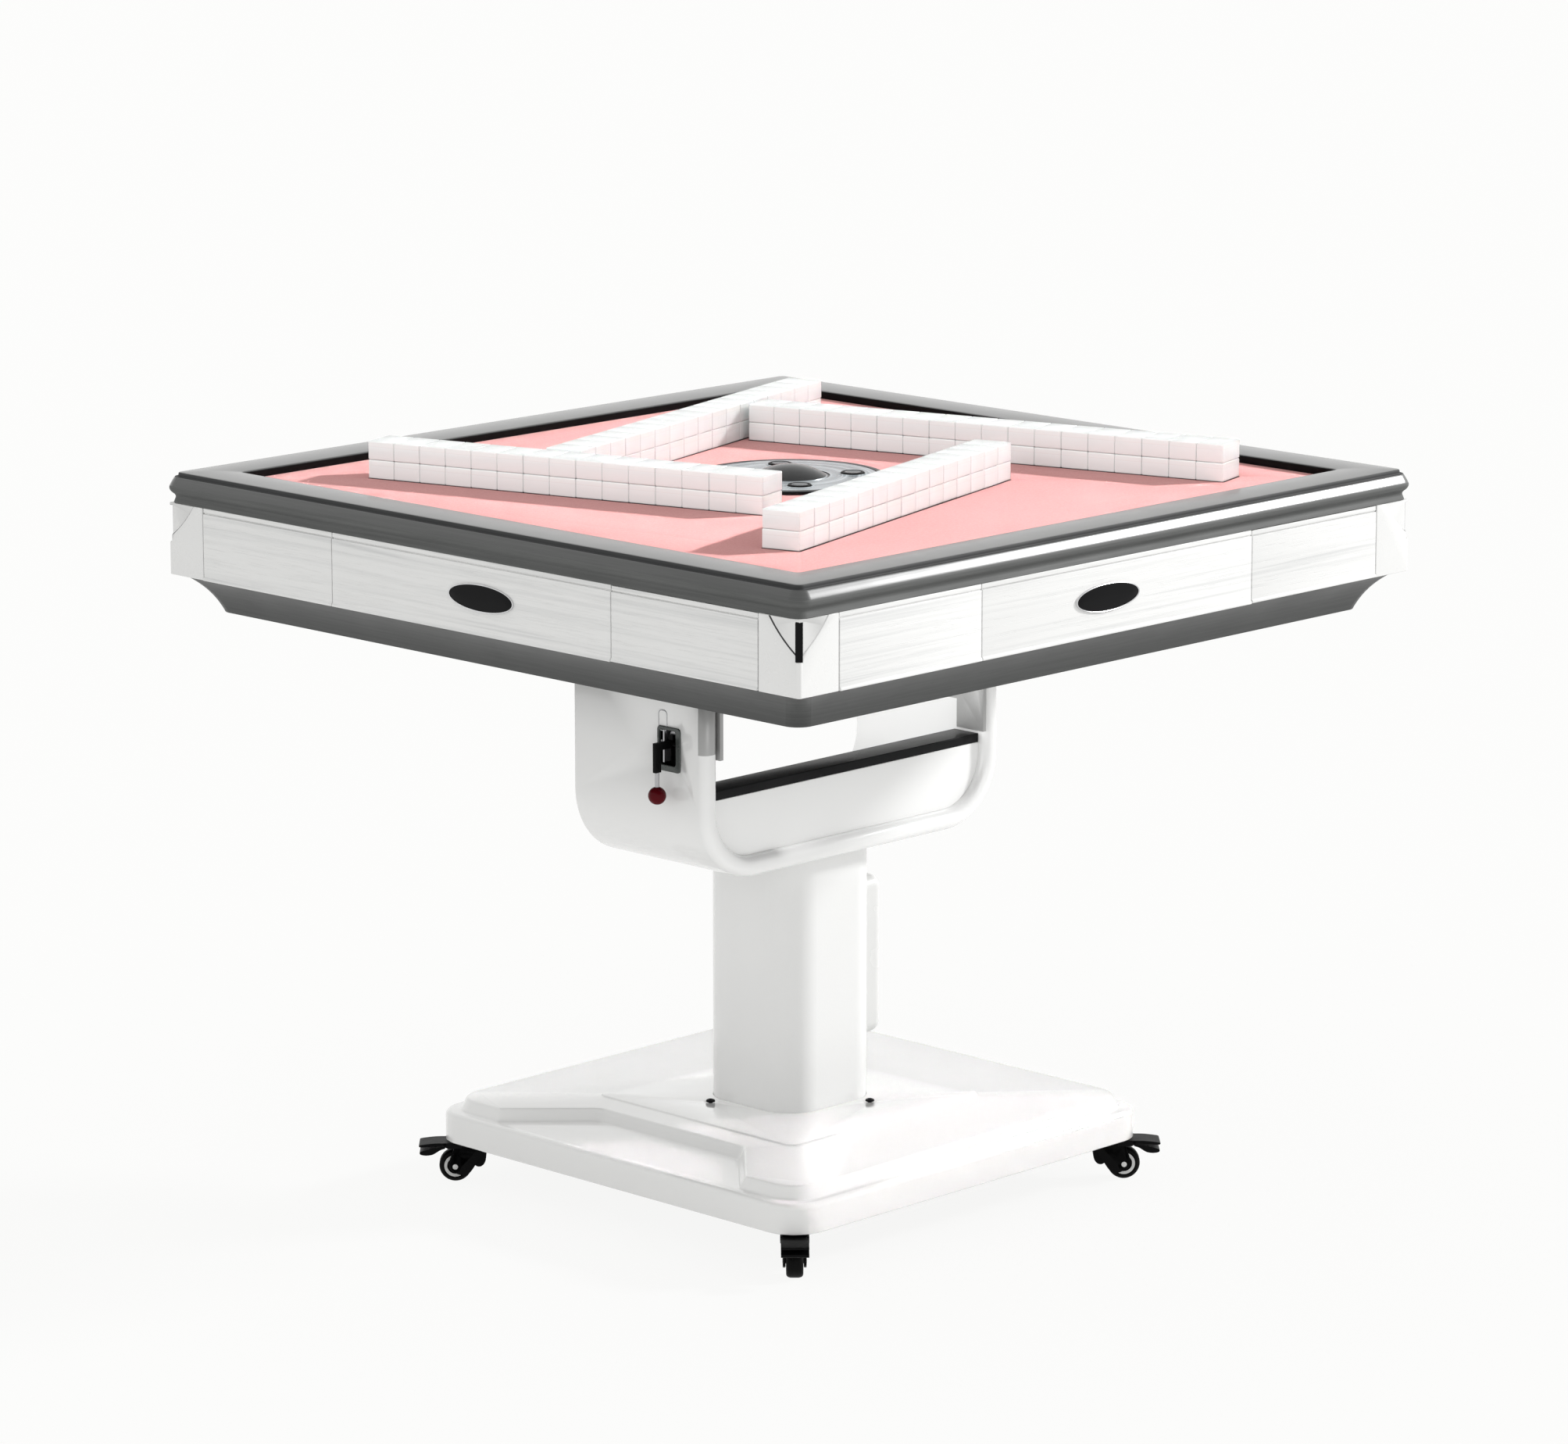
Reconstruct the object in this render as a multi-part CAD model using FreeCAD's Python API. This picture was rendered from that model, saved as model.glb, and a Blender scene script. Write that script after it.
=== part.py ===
import FreeCAD, Part
import math
import os

os.makedirs("parts", exist_ok=True)

# Folding automatic mahjong table on a wheeled pedestal. Millimetres, +Z up,
# origin on the floor under the middle of the table. The -Y and +X sides face the viewer.

# Clearances
running_gap = 0.3
pin_gap = 0.1
seam = 1.2

# Castors
wheel_diameter = 36.0
wheel_width = 18.0
tyre_depth = 5.5
castor_trail = 18.0
castor_inset = 32.0
wheel_side_gap = 0.6
wheel_head_gap = 4.0
hub_inset = 1.0
castor_plate_size = 36.0
castor_plate_thickness = 3.0
kingpin_radius = 5.0
axle_radius = 3.0
axle_eye_wall = 3.6
cheek_thickness = 2.9
fork_head = 8.2
fork_front = 19.0
fork_rear = 15.0
cheek_rear = 9.0
pedal_reach = 58.0
pedal_thickness = 4.5
pedal_pin_radius = 2.0
pedal_ear = 2.5
pedal_pin_drop = 4.7
pedal_ear_top = 0.5

# Base and column
base_width = 562.0
base_corner = 40.0
base_wall = 33.5
base_rise = 14.0
plateau_inset = 11.0
plateau_slope = 8.0
pad_width = 304.0
pad_rise = 2.0
cover_thickness = 3.0
cover_boss_radius = 10.0
base_plate_thickness = 6.0
recess_depth = 90.0
recess_width = 214.0
column_width = 143.0
column_corner = 40.0
column_wall = 4.0
column_length = 329.0
column_flange = 6.0
foot_flange_margin = 9.0
foot_screw_gap = 14.5
foot_screw_along = 38.0
screw_radius = 2.5
screw_head_radius = 5.0
screw_head_height = 2.5
power_box_width = 94.0
power_box_depth = 30.0
power_box_height = 180.0
power_box_drop = 48.5
power_box_wall = 2.5
power_box_corner = 14.0
inlet_width = 27.0
inlet_depth = 20.0

# Yoke that carries the table
yoke_depth = 200.0
yoke_width = 463.0
yoke_wall = 22.5
yoke_corner = 80.0
yoke_height = 245.5
yoke_edge_round = 10.5
yoke_back_round = 4.0
web_inset = 12.0
web_thickness = 4.0
web_height = 67.0
rear_web_height = 30.0
shelf_thickness = 10.0
shelf_depth = 36.0
rest_pad_length = 30.0
pivot_inset = 20.0
pivot_drop = 32.0
pivot_radius = 8.0
pivot_head_radius = 12.0
pivot_head_thickness = 3.0
pivot_skin = 2.5

# Latch on the -Y arm
latch_setback = 33.0
pocket_width = 33.0
pocket_height = 47.0
pocket_depth = 14.0
pocket_wall = 2.0
pocket_drop = 78.0
lever_width = 8.0
lever_reach = 22.0
lever_length = 32.0
lever_hub_radius = 4.0
lever_pin_radius = 2.5
lever_pin_inset = 3.5
lever_pin_rise = 29.0
finger_thickness = 3.0
finger_height = 10.0
bolt_radius = 4.0
bolt_rise = 9.5
knob_radius = 9.75
knob_rod_radius = 2.5
knob_drop = 25.0
knob_rod_sink = 1.0

# Table body
table_gap = 11.0
pan_height = 41.0
pan_taper = 31.5
pan_bulge = 5.2
pan_corner = 18.0
pan_wall = 10.0
pan_floor = 3.0
pan_lip = 6.5
rim_width = 960.0
rim_height = 34.0
rim_corner = 18.0
rim_border = 61.0
rim_inner_corner = 6.0
rim_shoulder = 10.0
bead_height = 20.0
bead_drop = 5.0
bead_flat = 1.0
rim_neck_inset = 8.0
rim_foot_inset = 5.0
rim_foot_height = 4.0
fascia_height = 79.0
fascia_inset = 4.0
panel_thickness = 12.0
panel_lip = 4.0
panel_lip_depth = 1.5
panel_strip = 5.0
panel_strip_depth = 0.8
panel_groove = 1.2
panel_groove_depth = 2.0
corner_cap_width = 57.0
centre_panel_width = 422.0
cap_round = 4.0
cap_facet_width = 42.0
cap_facet_height = 39.0
cap_facet_depth = 1.2
cap_facet_sag = 2.0
corner_strip_width = 7.0
corner_strip_height = 40.0
corner_strip_drop = 3.0
corner_strip_sink = 2.0
corner_post_size = 30.0
badge_width = 98.0
badge_height = 30.0
badge_thickness = 2.5
badge_shift = 20.0
felt_drop = 10.0
felt_thickness = 3.0
board_thickness = 12.0
board_ledge = 21.0
chassis_thickness = 3.0
bracket_thickness = 5.0
bracket_front = 20.0
bracket_margin = 11.0
bracket_tail = 23.5
bracket_shelf_gap = 4.0
bracket_flange = 40.0
bracket_flange_thickness = 6.0
arm_side_gap = 0.5

# Drawers
tray_depth = 150.0
tray_wall = 3.0
tray_side_inset = 14.0
runner_flange = 2.7
runner_wall = 5.7
runner_height = 28.0
runner_shelf = 10.3

# Tile walls on their lifts
tile_width = 32.2
tile_length = 43.6
tile_thickness = 20.4
tile_gap = 0.2
layers = 2
wall_turn = 16.0
wall_offsets = (191.0, 192.0, 222.0, 190.0)
wall_ends = (82.0, 108.0, 160.0, 160.0)
wall_rim_gaps = (70.0, 90.0, 60.0, 80.0)
lift_plate_thickness = 5.0
lift_plate_margin = 0.3
lift_slot_gap = 0.4
lift_post_width = 24.0
lift_travel = 46.0
lift_headroom = 4.0
lift_floor_gap = 5.0
outer_post_gap = 30.2
inner_post_inset = 13.0
guide_wall = 4.0

# Shuffling gear and centre controls
guide_tube_radius = 50.0
guide_tube_wall = 4.0
guide_tube_gap = 7.0
lift_tube_wall = 3.7
boss_width = 25.0
boss_height = 11.7
turntable_gap = 19.5
turntable_thickness = 6.0
turntable_lip = 7.0
turntable_lip_width = 5.0
roller_radius = 15.0
roller_height = 10.0
roller_shaft_radius = 4.0
roller_turn = -7.8
motor_radius = 27.0
motor_height = 34.0
motor_socket = 6.0
dish_radius = 105.0
dish_flange = 3.7
dish_plug_inset = 7.0
dish_plug_depth = 17.0
dish_floor = 5.0
dish_hole_gap = 1.0
button_radius = 13.0
button_turn = 53.0
button_height = 10.0
button_proud = 2.0
dice_plate_thickness = 3.0
dice_plate_rise = 3.0
dice_spindle_radius = 4.0
dice_spindle_length = 13.0
dice_size = 12.0
dice_spread = 11.0
dice_turn = 25.0
dome_radius = 40.0
dome_height = 12.0
dome_thickness = 2.0

# Levels, from the floor up
wheel_radius = wheel_diameter / 2
fork_low = wheel_diameter + wheel_head_gap
fork_top = fork_low + fork_head
castor_height = fork_top + running_gap
plate_low = castor_height + castor_plate_thickness
plate_top = plate_low + base_plate_thickness
ledge_top = castor_height + base_wall
plateau_top = ledge_top + base_rise
pad_top = plateau_top + pad_rise
yoke_low = plate_top + column_length
yoke_floor = yoke_low + yoke_wall
arm_top = yoke_low + yoke_height
pivot_z = arm_top - pivot_drop
pan_low = arm_top + table_gap
fascia_low = pan_low + pan_height
rim_low = fascia_low + fascia_height
rim_top = rim_low + rim_height
felt_top = rim_top - felt_drop
board_top = felt_top - felt_thickness
board_low = board_top - board_thickness
chassis_top = fascia_low + chassis_thickness
lift_plate_low = felt_top - lift_plate_thickness
lowered_lift = lift_plate_low - lift_travel
under_lift = lowered_lift - lift_headroom
lift_post_low = pan_low + pan_floor + lift_floor_gap + lift_travel
tray_low = chassis_top + runner_flange + running_gap

# Half widths and places shared by several pieces
base_half = base_width / 2
castor_reach = (base_half - castor_inset) * math.sqrt(2)
plateau_half = base_half - plateau_inset
column_half = column_width / 2
foot_screw_offset = column_half + foot_screw_gap
foot_flange_half = foot_screw_offset + foot_flange_margin
arm_half = yoke_width / 2
arm_inner = arm_half - yoke_wall
yoke_half = yoke_depth / 2
web_face = yoke_half - web_inset
pivot_x = yoke_half - pivot_inset
latch_x = pivot_x - latch_setback
rim_half = rim_width / 2
play_half = rim_half - rim_border
board_half = play_half + board_ledge
fascia_half = rim_half - fascia_inset
fascia_inner = fascia_half - panel_thickness
cap_edge = fascia_half - corner_cap_width
panel_edge = centre_panel_width / 2
pan_top_half = fascia_inner + pan_lip
pan_low_half = pan_top_half - pan_taper
fork_half = wheel_width / 2 + wheel_side_gap + cheek_thickness
pedal_pin_z = fork_top - pedal_pin_drop
pocket_top = arm_top - pocket_drop
pocket_low = pocket_top - pocket_height
lever_y = -arm_half + lever_pin_inset
lever_z = pocket_low + lever_pin_rise
bolt_z = lever_z + bolt_rise
bracket_x = (latch_x - bracket_margin, pivot_x + bracket_front)
bracket_low = bolt_z - bracket_tail
shelf_low = yoke_floor + web_height
shelf_top = shelf_low + shelf_thickness
wall_sine = math.sin(math.radians(wall_turn))
wall_cosine = math.cos(math.radians(wall_turn))
tile_pitch = tile_width + tile_gap
wall_limits = [-(play_half - gap + offset * wall_sine) / wall_cosine
               for gap, offset in zip(wall_rim_gaps, wall_offsets)]
wall_stacks = [int((end - limit + tile_gap) / tile_pitch) for end, limit in zip(wall_ends, wall_limits)]
wall_starts = [end - count * tile_pitch + tile_gap for end, count in zip(wall_ends, wall_stacks)]
guide_half = lift_post_width / 2 + guide_wall
tray_back_reach = fascia_inner - tray_depth
outer_post_reach = tray_back_reach - outer_post_gap - guide_half * (wall_sine + wall_cosine)
outer_posts = [-(outer_post_reach + offset * wall_sine) / wall_cosine for offset in wall_offsets]
inner_posts = [end - inner_post_inset for end in wall_ends]
inner_post_reach = min(math.hypot(along, offset) for along, offset in zip(inner_posts, wall_offsets))
dish_top = felt_top + running_gap + dish_flange
dish_low = dish_top - dish_flange - dish_plug_depth
dish_plug_radius = dish_radius - dish_plug_inset
dome_sphere = (dome_radius ** 2 + dome_height ** 2) / (2 * dome_height)
dice_well_radius = math.sqrt((dome_sphere - dome_thickness) ** 2 - (dome_sphere - dome_height) ** 2)
button_ring = (dome_radius + dish_plug_radius) / 2
lift_tube_radius = guide_tube_radius - guide_tube_wall - running_gap
turntable_radius = inner_post_reach - guide_half * math.sqrt(2) - turntable_gap
turntable_low = chassis_top + boss_height + running_gap
roller_reach = turntable_radius + roller_radius + running_gap


def point(x, y, z):
    return FreeCAD.Vector(x, y, z)


up = point(0, 0, 1)
along_x = point(1, 0, 0)
along_y = point(0, 1, 0)


def block(x, y, z):
    """A box from three (low, high) pairs."""
    return Part.makeBox(x[1] - x[0], y[1] - y[0], z[1] - z[0], point(x[0], y[0], z[0]))


def outline(half_x, half_y, corner, height):
    """A rectangle with round corners, centred on the Z axis."""
    flat_x = half_x - corner
    flat_y = half_y - corner
    mid = corner * math.sqrt(0.5)
    ends = [(half_x, -flat_y), (half_x, flat_y), (flat_x, half_y), (-flat_x, half_y),
            (-half_x, flat_y), (-half_x, -flat_y), (-flat_x, -half_y), (flat_x, -half_y)]
    signs = [(1, 1), (-1, 1), (-1, -1), (1, -1)]
    places = [point(x, y, height) for x, y in ends]
    edges = []
    for side, (sign_x, sign_y) in enumerate(signs):
        start = places[2 * side]
        turn = places[2 * side + 1]
        leave = places[(2 * side + 2) % 8]
        bend = point(sign_x * (flat_x + mid), sign_y * (flat_y + mid), height)
        edges.append(Part.LineSegment(start, turn).toShape())
        edges.append(Part.Arc(turn, bend, leave).toShape())
    return Part.Wire(edges)


def slab(half_x, half_y, corner, low, high):
    return Part.Face(outline(half_x, half_y, corner, low)).extrude(point(0, 0, high - low))


def disc(radius, low, high, x=0.0, y=0.0):
    return Part.makeCylinder(radius, high - low, point(x, y, low), up)


def ring(outer, inner, low, high, x=0.0, y=0.0):
    return disc(outer, low, high, x, y).cut(disc(inner, low, high, x, y))


def prism(corners, travel):
    """A straight-sided prism from a list of corner points."""
    return Part.Face(Part.makePolygon(corners + corners[:1])).extrude(travel)


def joined(pieces):
    whole = pieces[0]
    for piece in pieces[1:]:
        whole = whole.fuse(piece)
    return whole.removeSplitter()


def turned(shape, angle):
    copy = shape.copy()
    copy.rotate(point(0, 0, 0), up, angle)
    return copy


def four(shape):
    return [turned(shape, 90 * side) for side in range(4)]


def level_edges(shape, height, reach):
    """The outer edges of a shape that lie flat at one height, beyond a distance from the axis."""
    found = []
    for edge in shape.Edges:
        box = edge.BoundBox
        middle = edge.valueAt((edge.FirstParameter + edge.LastParameter) / 2)
        flat = abs(box.ZMin - height) < 1e-4 and abs(box.ZMax - height) < 1e-4
        if flat and max(abs(middle.x), abs(middle.y)) > reach:
            found.append(edge)
    return found


def save(name, shapes):
    shape = shapes if isinstance(shapes, Part.Shape) else Part.makeCompound(shapes)
    shape.exportStep(f"parts/{name}.step")


# Base

def screw_places():
    return [(-foot_screw_along, -foot_screw_offset), (foot_screw_offset, foot_screw_along)]


def make_base_plate():
    half = base_half - cover_thickness - running_gap
    plate = slab(half, half, base_corner - cover_thickness, plate_low, plate_top)
    for x, y in screw_places():
        plate = plate.cut(disc(screw_radius + pin_gap, plate_low, plate_top, x, y))
    return plate


def plateau(inset, low, high):
    """The raised middle of the cover, with sloping sides and the toe recess on the -Y side."""
    foot = plateau_half - inset
    head = foot - plateau_slope
    corner = base_corner - inset
    raised = Part.makeLoft([outline(foot, foot, corner, low), outline(head, head, corner, high)], True, True)
    inner = -base_half + recess_depth + inset
    flare = recess_depth + inset
    wide = recess_width / 2 + inset * math.tan(math.pi / 8)
    corners = [point(-wide - flare, -base_half, low), point(-wide, inner, low),
               point(wide, inner, low), point(wide + flare, -base_half, low)]
    return raised.cut(prism(corners, point(0, 0, high - low)))


def make_base_cover():
    wall = cover_thickness
    tray = slab(base_half, base_half, base_corner, castor_height, ledge_top)
    tray = tray.makeFillet(wall, level_edges(tray, ledge_top, 0))
    pad = slab(pad_width / 2, pad_width / 2, base_corner / 4, plateau_top, pad_top)
    outer = joined([tray, plateau(0, ledge_top, plateau_top), pad])
    inside = slab(base_half - wall, base_half - wall, base_corner - wall, castor_height, ledge_top - wall)
    hollow = plateau(wall, ledge_top - wall, plateau_top - wall)
    cover = outer.cut(inside).cut(hollow)
    boss_place = base_half - base_corner - wall
    for x in (-boss_place, boss_place):
        for y in (-boss_place, boss_place):
            cover = cover.fuse(disc(cover_boss_radius, plate_top, plateau_top - wall, x, y))
    hole = column_half + running_gap
    cover = cover.cut(slab(hole, hole, column_corner + running_gap, plate_top, pad_top))
    for x, y in screw_places():
        cover = cover.cut(disc(screw_radius + pin_gap, plate_top, pad_top, x, y))
    return cover.removeSplitter()


def make_column():
    tube = slab(column_half, column_half, column_corner, plate_top, yoke_low)
    bore_half = column_half - column_wall
    bore = slab(bore_half, bore_half, column_corner - column_wall, plate_top, yoke_low - column_flange)
    flange = slab(foot_flange_half, foot_flange_half, base_corner / 4, plate_top, plate_top + column_flange)
    post = joined([tube, flange]).cut(bore)
    for x, y in screw_places():
        post = post.cut(disc(screw_radius + pin_gap, plate_top, plate_top + column_flange, x, y))
    return post


def make_stand_screws():
    screws = []
    for x, y in screw_places():
        shank = disc(screw_radius, plate_low, pad_top, x, y)
        head = disc(screw_head_radius, pad_top, pad_top + screw_head_height, x, y)
        screws.append(joined([shank, head]))
    return screws


def make_power_box():
    """A rounded casing on the +Y face of the column, with a mains inlet in its underside."""
    top = yoke_low - power_box_drop
    low = top - power_box_height
    half = power_box_width / 2
    near = column_half
    far = column_half + power_box_depth
    case = block((-half, half), (near, far), (low, top))
    round_edges = []
    for edge in case.Edges:
        box = edge.BoundBox
        on_back = box.YMax < near + 1e-4
        if not on_back:
            round_edges.append(edge)
    case = case.makeFillet(power_box_corner, round_edges)
    wall = power_box_wall
    inside = block((-half + power_box_corner, half - power_box_corner), (near, far - 2 * wall),
                   (low + power_box_corner, top - power_box_corner))
    case = case.cut(inside)
    middle = near + power_box_depth / 2
    inlet = block((-inlet_width / 2, inlet_width / 2), (middle - inlet_depth / 2, middle + inlet_depth / 2),
                  (low, low + power_box_corner))
    return case.cut(inlet)


# Yoke

def u_profile(inset, x):
    """The closed outline of the yoke seen along X, stepped in from its outside by an inset."""
    wide = arm_half - inset
    low = yoke_low + inset
    bend = yoke_corner - inset
    mid = bend * (1 - math.sqrt(0.5))
    points = [point(x, -wide, arm_top), point(x, -wide, low + bend), point(x, -wide + bend, low),
              point(x, wide - bend, low), point(x, wide, low + bend), point(x, wide, arm_top)]
    edges = [
        Part.LineSegment(points[0], points[1]).toShape(),
        Part.Arc(points[1], point(x, -wide + mid, low + mid), points[2]).toShape(),
        Part.LineSegment(points[2], points[3]).toShape(),
        Part.Arc(points[3], point(x, wide - mid, low + mid), points[4]).toShape(),
        Part.LineSegment(points[4], points[5]).toShape(),
        Part.LineSegment(points[5], points[0]).toShape(),
    ]
    return Part.Wire(edges)


def u_solid(inset, low, high):
    return Part.Face(u_profile(inset, low)).extrude(point(high - low, 0, 0))


def make_yoke_shell():
    shell = u_solid(0, -yoke_half, yoke_half).cut(u_solid(yoke_wall, -yoke_half, yoke_half))
    for face, radius in ((yoke_half, yoke_edge_round), (-yoke_half, yoke_back_round)):
        rims = []
        for edge in shell.Edges:
            box = edge.BoundBox
            on_face = abs(box.XMin - face) < 1e-4 and abs(box.XMax - face) < 1e-4
            at_top = box.ZMin > arm_top - 1e-4
            if on_face and not at_top:
                rims.append(edge)
        shell = shell.makeFillet(radius, rims)
    pad_x = (-yoke_half + yoke_back_round, -yoke_half + yoke_back_round + rest_pad_length)
    rest = running_gap
    for side in (-1, 1):
        pad_y = sorted((side * (arm_inner + yoke_wall / 4), side * (arm_half - yoke_wall / 4)))
        shell = shell.fuse(block(pad_x, pad_y, (arm_top, pan_low - rest)))
        bore_y = sorted((side * arm_inner, side * (arm_half - pivot_skin)))
        bore = Part.makeCylinder(pivot_radius + pin_gap, bore_y[1] - bore_y[0],
                                 point(pivot_x, bore_y[0], pivot_z), along_y)
        shell = shell.cut(bore)
    pocket = block((latch_x - pocket_width / 2, latch_x + pocket_width / 2),
                   (-arm_half, -arm_half + pocket_depth), (pocket_low, pocket_top))
    bolt_start = point(latch_x, -arm_half, bolt_z)
    bolt_way = Part.makeCylinder(bolt_radius + running_gap, yoke_wall, bolt_start, along_y)
    return shell.cut(pocket).cut(bolt_way)


def make_yoke_web_panels():
    webs = []
    for face, height in ((web_face - web_thickness, web_height), (-web_face, rear_web_height)):
        web = u_solid(yoke_wall, face, face + web_thickness)
        span_z = (yoke_floor, yoke_floor + height)
        keep = block((face, face + web_thickness), (-arm_inner, arm_inner), span_z)
        webs.append(web.common(keep))
    return webs


def make_yoke_shelf():
    return block((web_face - shelf_depth, web_face), (-arm_inner, arm_inner), (shelf_low, shelf_top))


def make_pivot_pins():
    pins = []
    for side in (-1, 1):
        inner = arm_inner - arm_side_gap - bracket_thickness - running_gap
        span = sorted((side * inner, side * (arm_half - pivot_skin)))
        pin = Part.makeCylinder(pivot_radius, span[1] - span[0], point(pivot_x, span[0], pivot_z), along_y)
        head_span = sorted((side * (inner - pivot_head_thickness), side * inner))
        head = Part.makeCylinder(pivot_head_radius, pivot_head_thickness,
                                 point(pivot_x, head_span[0], pivot_z), along_y)
        pins.append(joined([pin, head]))
    return pins


# Latch

def make_latch_pocket():
    wide = pocket_width / 2
    back = -arm_half + pocket_depth
    cup = block((latch_x - wide, latch_x + wide), (-arm_half, back), (pocket_low, pocket_top))
    room = block((latch_x - wide + pocket_wall, latch_x + wide - pocket_wall),
                 (-arm_half, back - pocket_wall),
                 (pocket_low + pocket_wall, pocket_top - pocket_wall))
    bolt_start = point(latch_x, -arm_half, bolt_z)
    bolt_way = Part.makeCylinder(bolt_radius + running_gap, pocket_depth, bolt_start, along_y)
    pin_way = Part.makeCylinder(lever_pin_radius + pin_gap, pocket_width,
                                point(latch_x - wide, lever_y, lever_z), along_x)
    return cup.cut(room).cut(bolt_way).cut(pin_way)


def make_latch_lever():
    """A cranked lever on a cross pin, with a rod and a ball knob at its lower end."""
    half = lever_width / 2
    wide = (latch_x - half, latch_x + half)
    bar_y = lever_y - lever_reach
    hub = Part.makeCylinder(lever_hub_radius, lever_width, point(wide[0], lever_y, lever_z), along_x)
    pin_half = pocket_width / 2 - pocket_wall / 2
    pin_start = point(latch_x - pin_half, lever_y, lever_z)
    pin = Part.makeCylinder(lever_pin_radius, 2 * pin_half, pin_start, along_x)
    reach = block(wide, (bar_y - half, lever_y), (lever_z - half, lever_z + half))
    bar = block(wide, (bar_y - half, bar_y + half), (lever_z - lever_length + half, lever_z + half))
    finger = block((latch_x - finger_thickness, latch_x + finger_thickness),
                   (lever_y - finger_thickness / 2, lever_y + finger_thickness / 2),
                   (lever_z, lever_z + finger_height))
    bar_low = lever_z - lever_length + half
    rod = disc(knob_rod_radius, bar_low - knob_drop + knob_radius - knob_rod_sink, bar_low, latch_x, bar_y)
    lever = joined([hub, pin, reach, bar, finger, rod])
    knob = Part.makeSphere(knob_radius, point(latch_x, bar_y, bar_low - knob_drop))
    return [lever.cut(knob), knob]


def make_lock_bolt():
    start = lever_y + finger_thickness / 2 + running_gap
    end = -arm_inner - running_gap
    return Part.makeCylinder(bolt_radius, end - start, point(latch_x, start, bolt_z), along_y)


# Castors, drawn at the origin with the outward direction along +X

def castor_placed(shape, corner):
    copy = shape.copy()
    copy.translate(point(castor_reach, 0, 0))
    return turned(copy, -45 + 90 * corner)


def make_castor_plate():
    half = castor_plate_size / 2
    plate = block((-half, half), (-half, half), (castor_height, plate_low))
    kingpin = disc(kingpin_radius, fork_low, castor_height)
    return joined([plate, kingpin])


def make_castor_fork():
    head = block((-fork_rear, fork_front), (-fork_half, fork_half), (fork_low, fork_top))
    upright = [edge for edge in head.Edges if abs(edge.BoundBox.ZLength - fork_head) < 1e-4]
    head = head.makeFillet(fork_head / 2, upright)
    cheeks = []
    inner = fork_half - cheek_thickness
    eye = axle_radius + axle_eye_wall
    for low in (-fork_half, inner):
        corners = [point(-cheek_rear, low, fork_low), point(fork_front, low, fork_low),
                   point(castor_trail + eye, low, wheel_radius), point(castor_trail, low, wheel_radius - eye),
                   point(castor_trail - eye, low, wheel_radius)]
        cheek = prism(corners, point(0, cheek_thickness, 0))
        boss = Part.makeCylinder(eye, cheek_thickness, point(castor_trail, low, wheel_radius), along_y)
        cheeks.append(joined([cheek, boss]))
    fork = joined([head] + cheeks)
    axle_start = point(castor_trail, -fork_half, wheel_radius)
    axle_way = Part.makeCylinder(axle_radius + pin_gap, 2 * fork_half, axle_start, along_y)
    pedal_way = Part.makeCylinder(pedal_pin_radius + pin_gap, 2 * fork_half,
                                  point(fork_front - 2 * pedal_pin_radius, -fork_half, pedal_pin_z), along_y)
    fork = fork.cut(axle_way).cut(pedal_way).cut(disc(kingpin_radius + pin_gap, fork_low, fork_top))
    axle = Part.makeCylinder(axle_radius, 2 * fork_half, axle_start, along_y)
    return [fork, axle]


def make_castor_wheel():
    def barrel(radius, width):
        return Part.makeCylinder(radius, width, point(castor_trail, -width / 2, wheel_radius), along_y)

    hub_radius = wheel_radius - tyre_depth
    tyre = barrel(wheel_radius, wheel_width)
    tyre = tyre.makeFillet(tyre_depth / 2, tyre.Edges).cut(barrel(hub_radius, wheel_width))
    hub = barrel(hub_radius, wheel_width - 2 * hub_inset).cut(barrel(axle_radius + pin_gap, wheel_width))
    return [tyre, hub]


def make_castor_pedal():
    """A two-lobed brake pedal on ears beside the fork's head."""
    pin_x = fork_front - 2 * pedal_pin_radius
    wide = fork_half + running_gap + pedal_ear
    low = fork_low
    tread_x = (fork_front + running_gap + 3 * pedal_pin_radius / 2, pedal_reach)
    tread = block(tread_x, (-wide, wide), (low, low + pedal_thickness))
    notch = disc(wide / 2, low, low + pedal_thickness, pedal_reach, 0)
    tread = tread.cut(notch)
    upright = [edge for edge in tread.Edges
               if edge.BoundBox.XMin > pedal_reach - 1e-4 and edge.BoundBox.YLength < 1e-4]
    outer = [edge for edge in upright if abs(edge.BoundBox.YMin) > wide - 1e-4]
    tread = tread.makeFillet(wide / 4, outer)
    pieces = [tread]
    ear_low = pedal_pin_z - 2 * pedal_pin_radius
    ear_high = pedal_pin_z + pedal_pin_radius + pedal_ear_top
    ear_x = (pin_x - 2 * pedal_pin_radius, tread_x[0] + pedal_thickness)
    for side in (-1, 1):
        span = sorted((side * (fork_half + running_gap), side * wide))
        pieces.append(block(ear_x, span, (ear_low, ear_high)))
    pieces.append(Part.makeCylinder(pedal_pin_radius, 2 * wide, point(pin_x, -wide, pedal_pin_z), along_y))
    return joined(pieces)


# Table body

def make_bottom_pan():
    """The coved tray under the table, with slots for the pivot brackets."""
    middle = pan_low + pan_height / 2
    half_middle = (pan_low_half + pan_top_half) / 2 - pan_bulge
    levels = [(pan_low, pan_low_half), (middle, half_middle), (fascia_low, pan_top_half)]
    outer = Part.makeLoft([outline(half, half, pan_corner, z) for z, half in levels], True, False)
    levels[0] = (pan_low + pan_floor, pan_low_half)
    inner_corner = pan_corner - pan_wall
    inside = Part.makeLoft([outline(half - pan_wall, half - pan_wall, inner_corner, z) for z, half in levels],
                           True, False)
    pan = outer.cut(inside)
    for side in (-1, 1):
        near = arm_inner - arm_side_gap - bracket_thickness - seam
        span = sorted((side * near, side * (arm_inner - arm_side_gap + seam)))
        pan = pan.cut(block((bracket_x[0] - seam, bracket_x[1] + seam), span,
                            (pan_low, pan_low + pan_floor)))
    return pan


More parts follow.
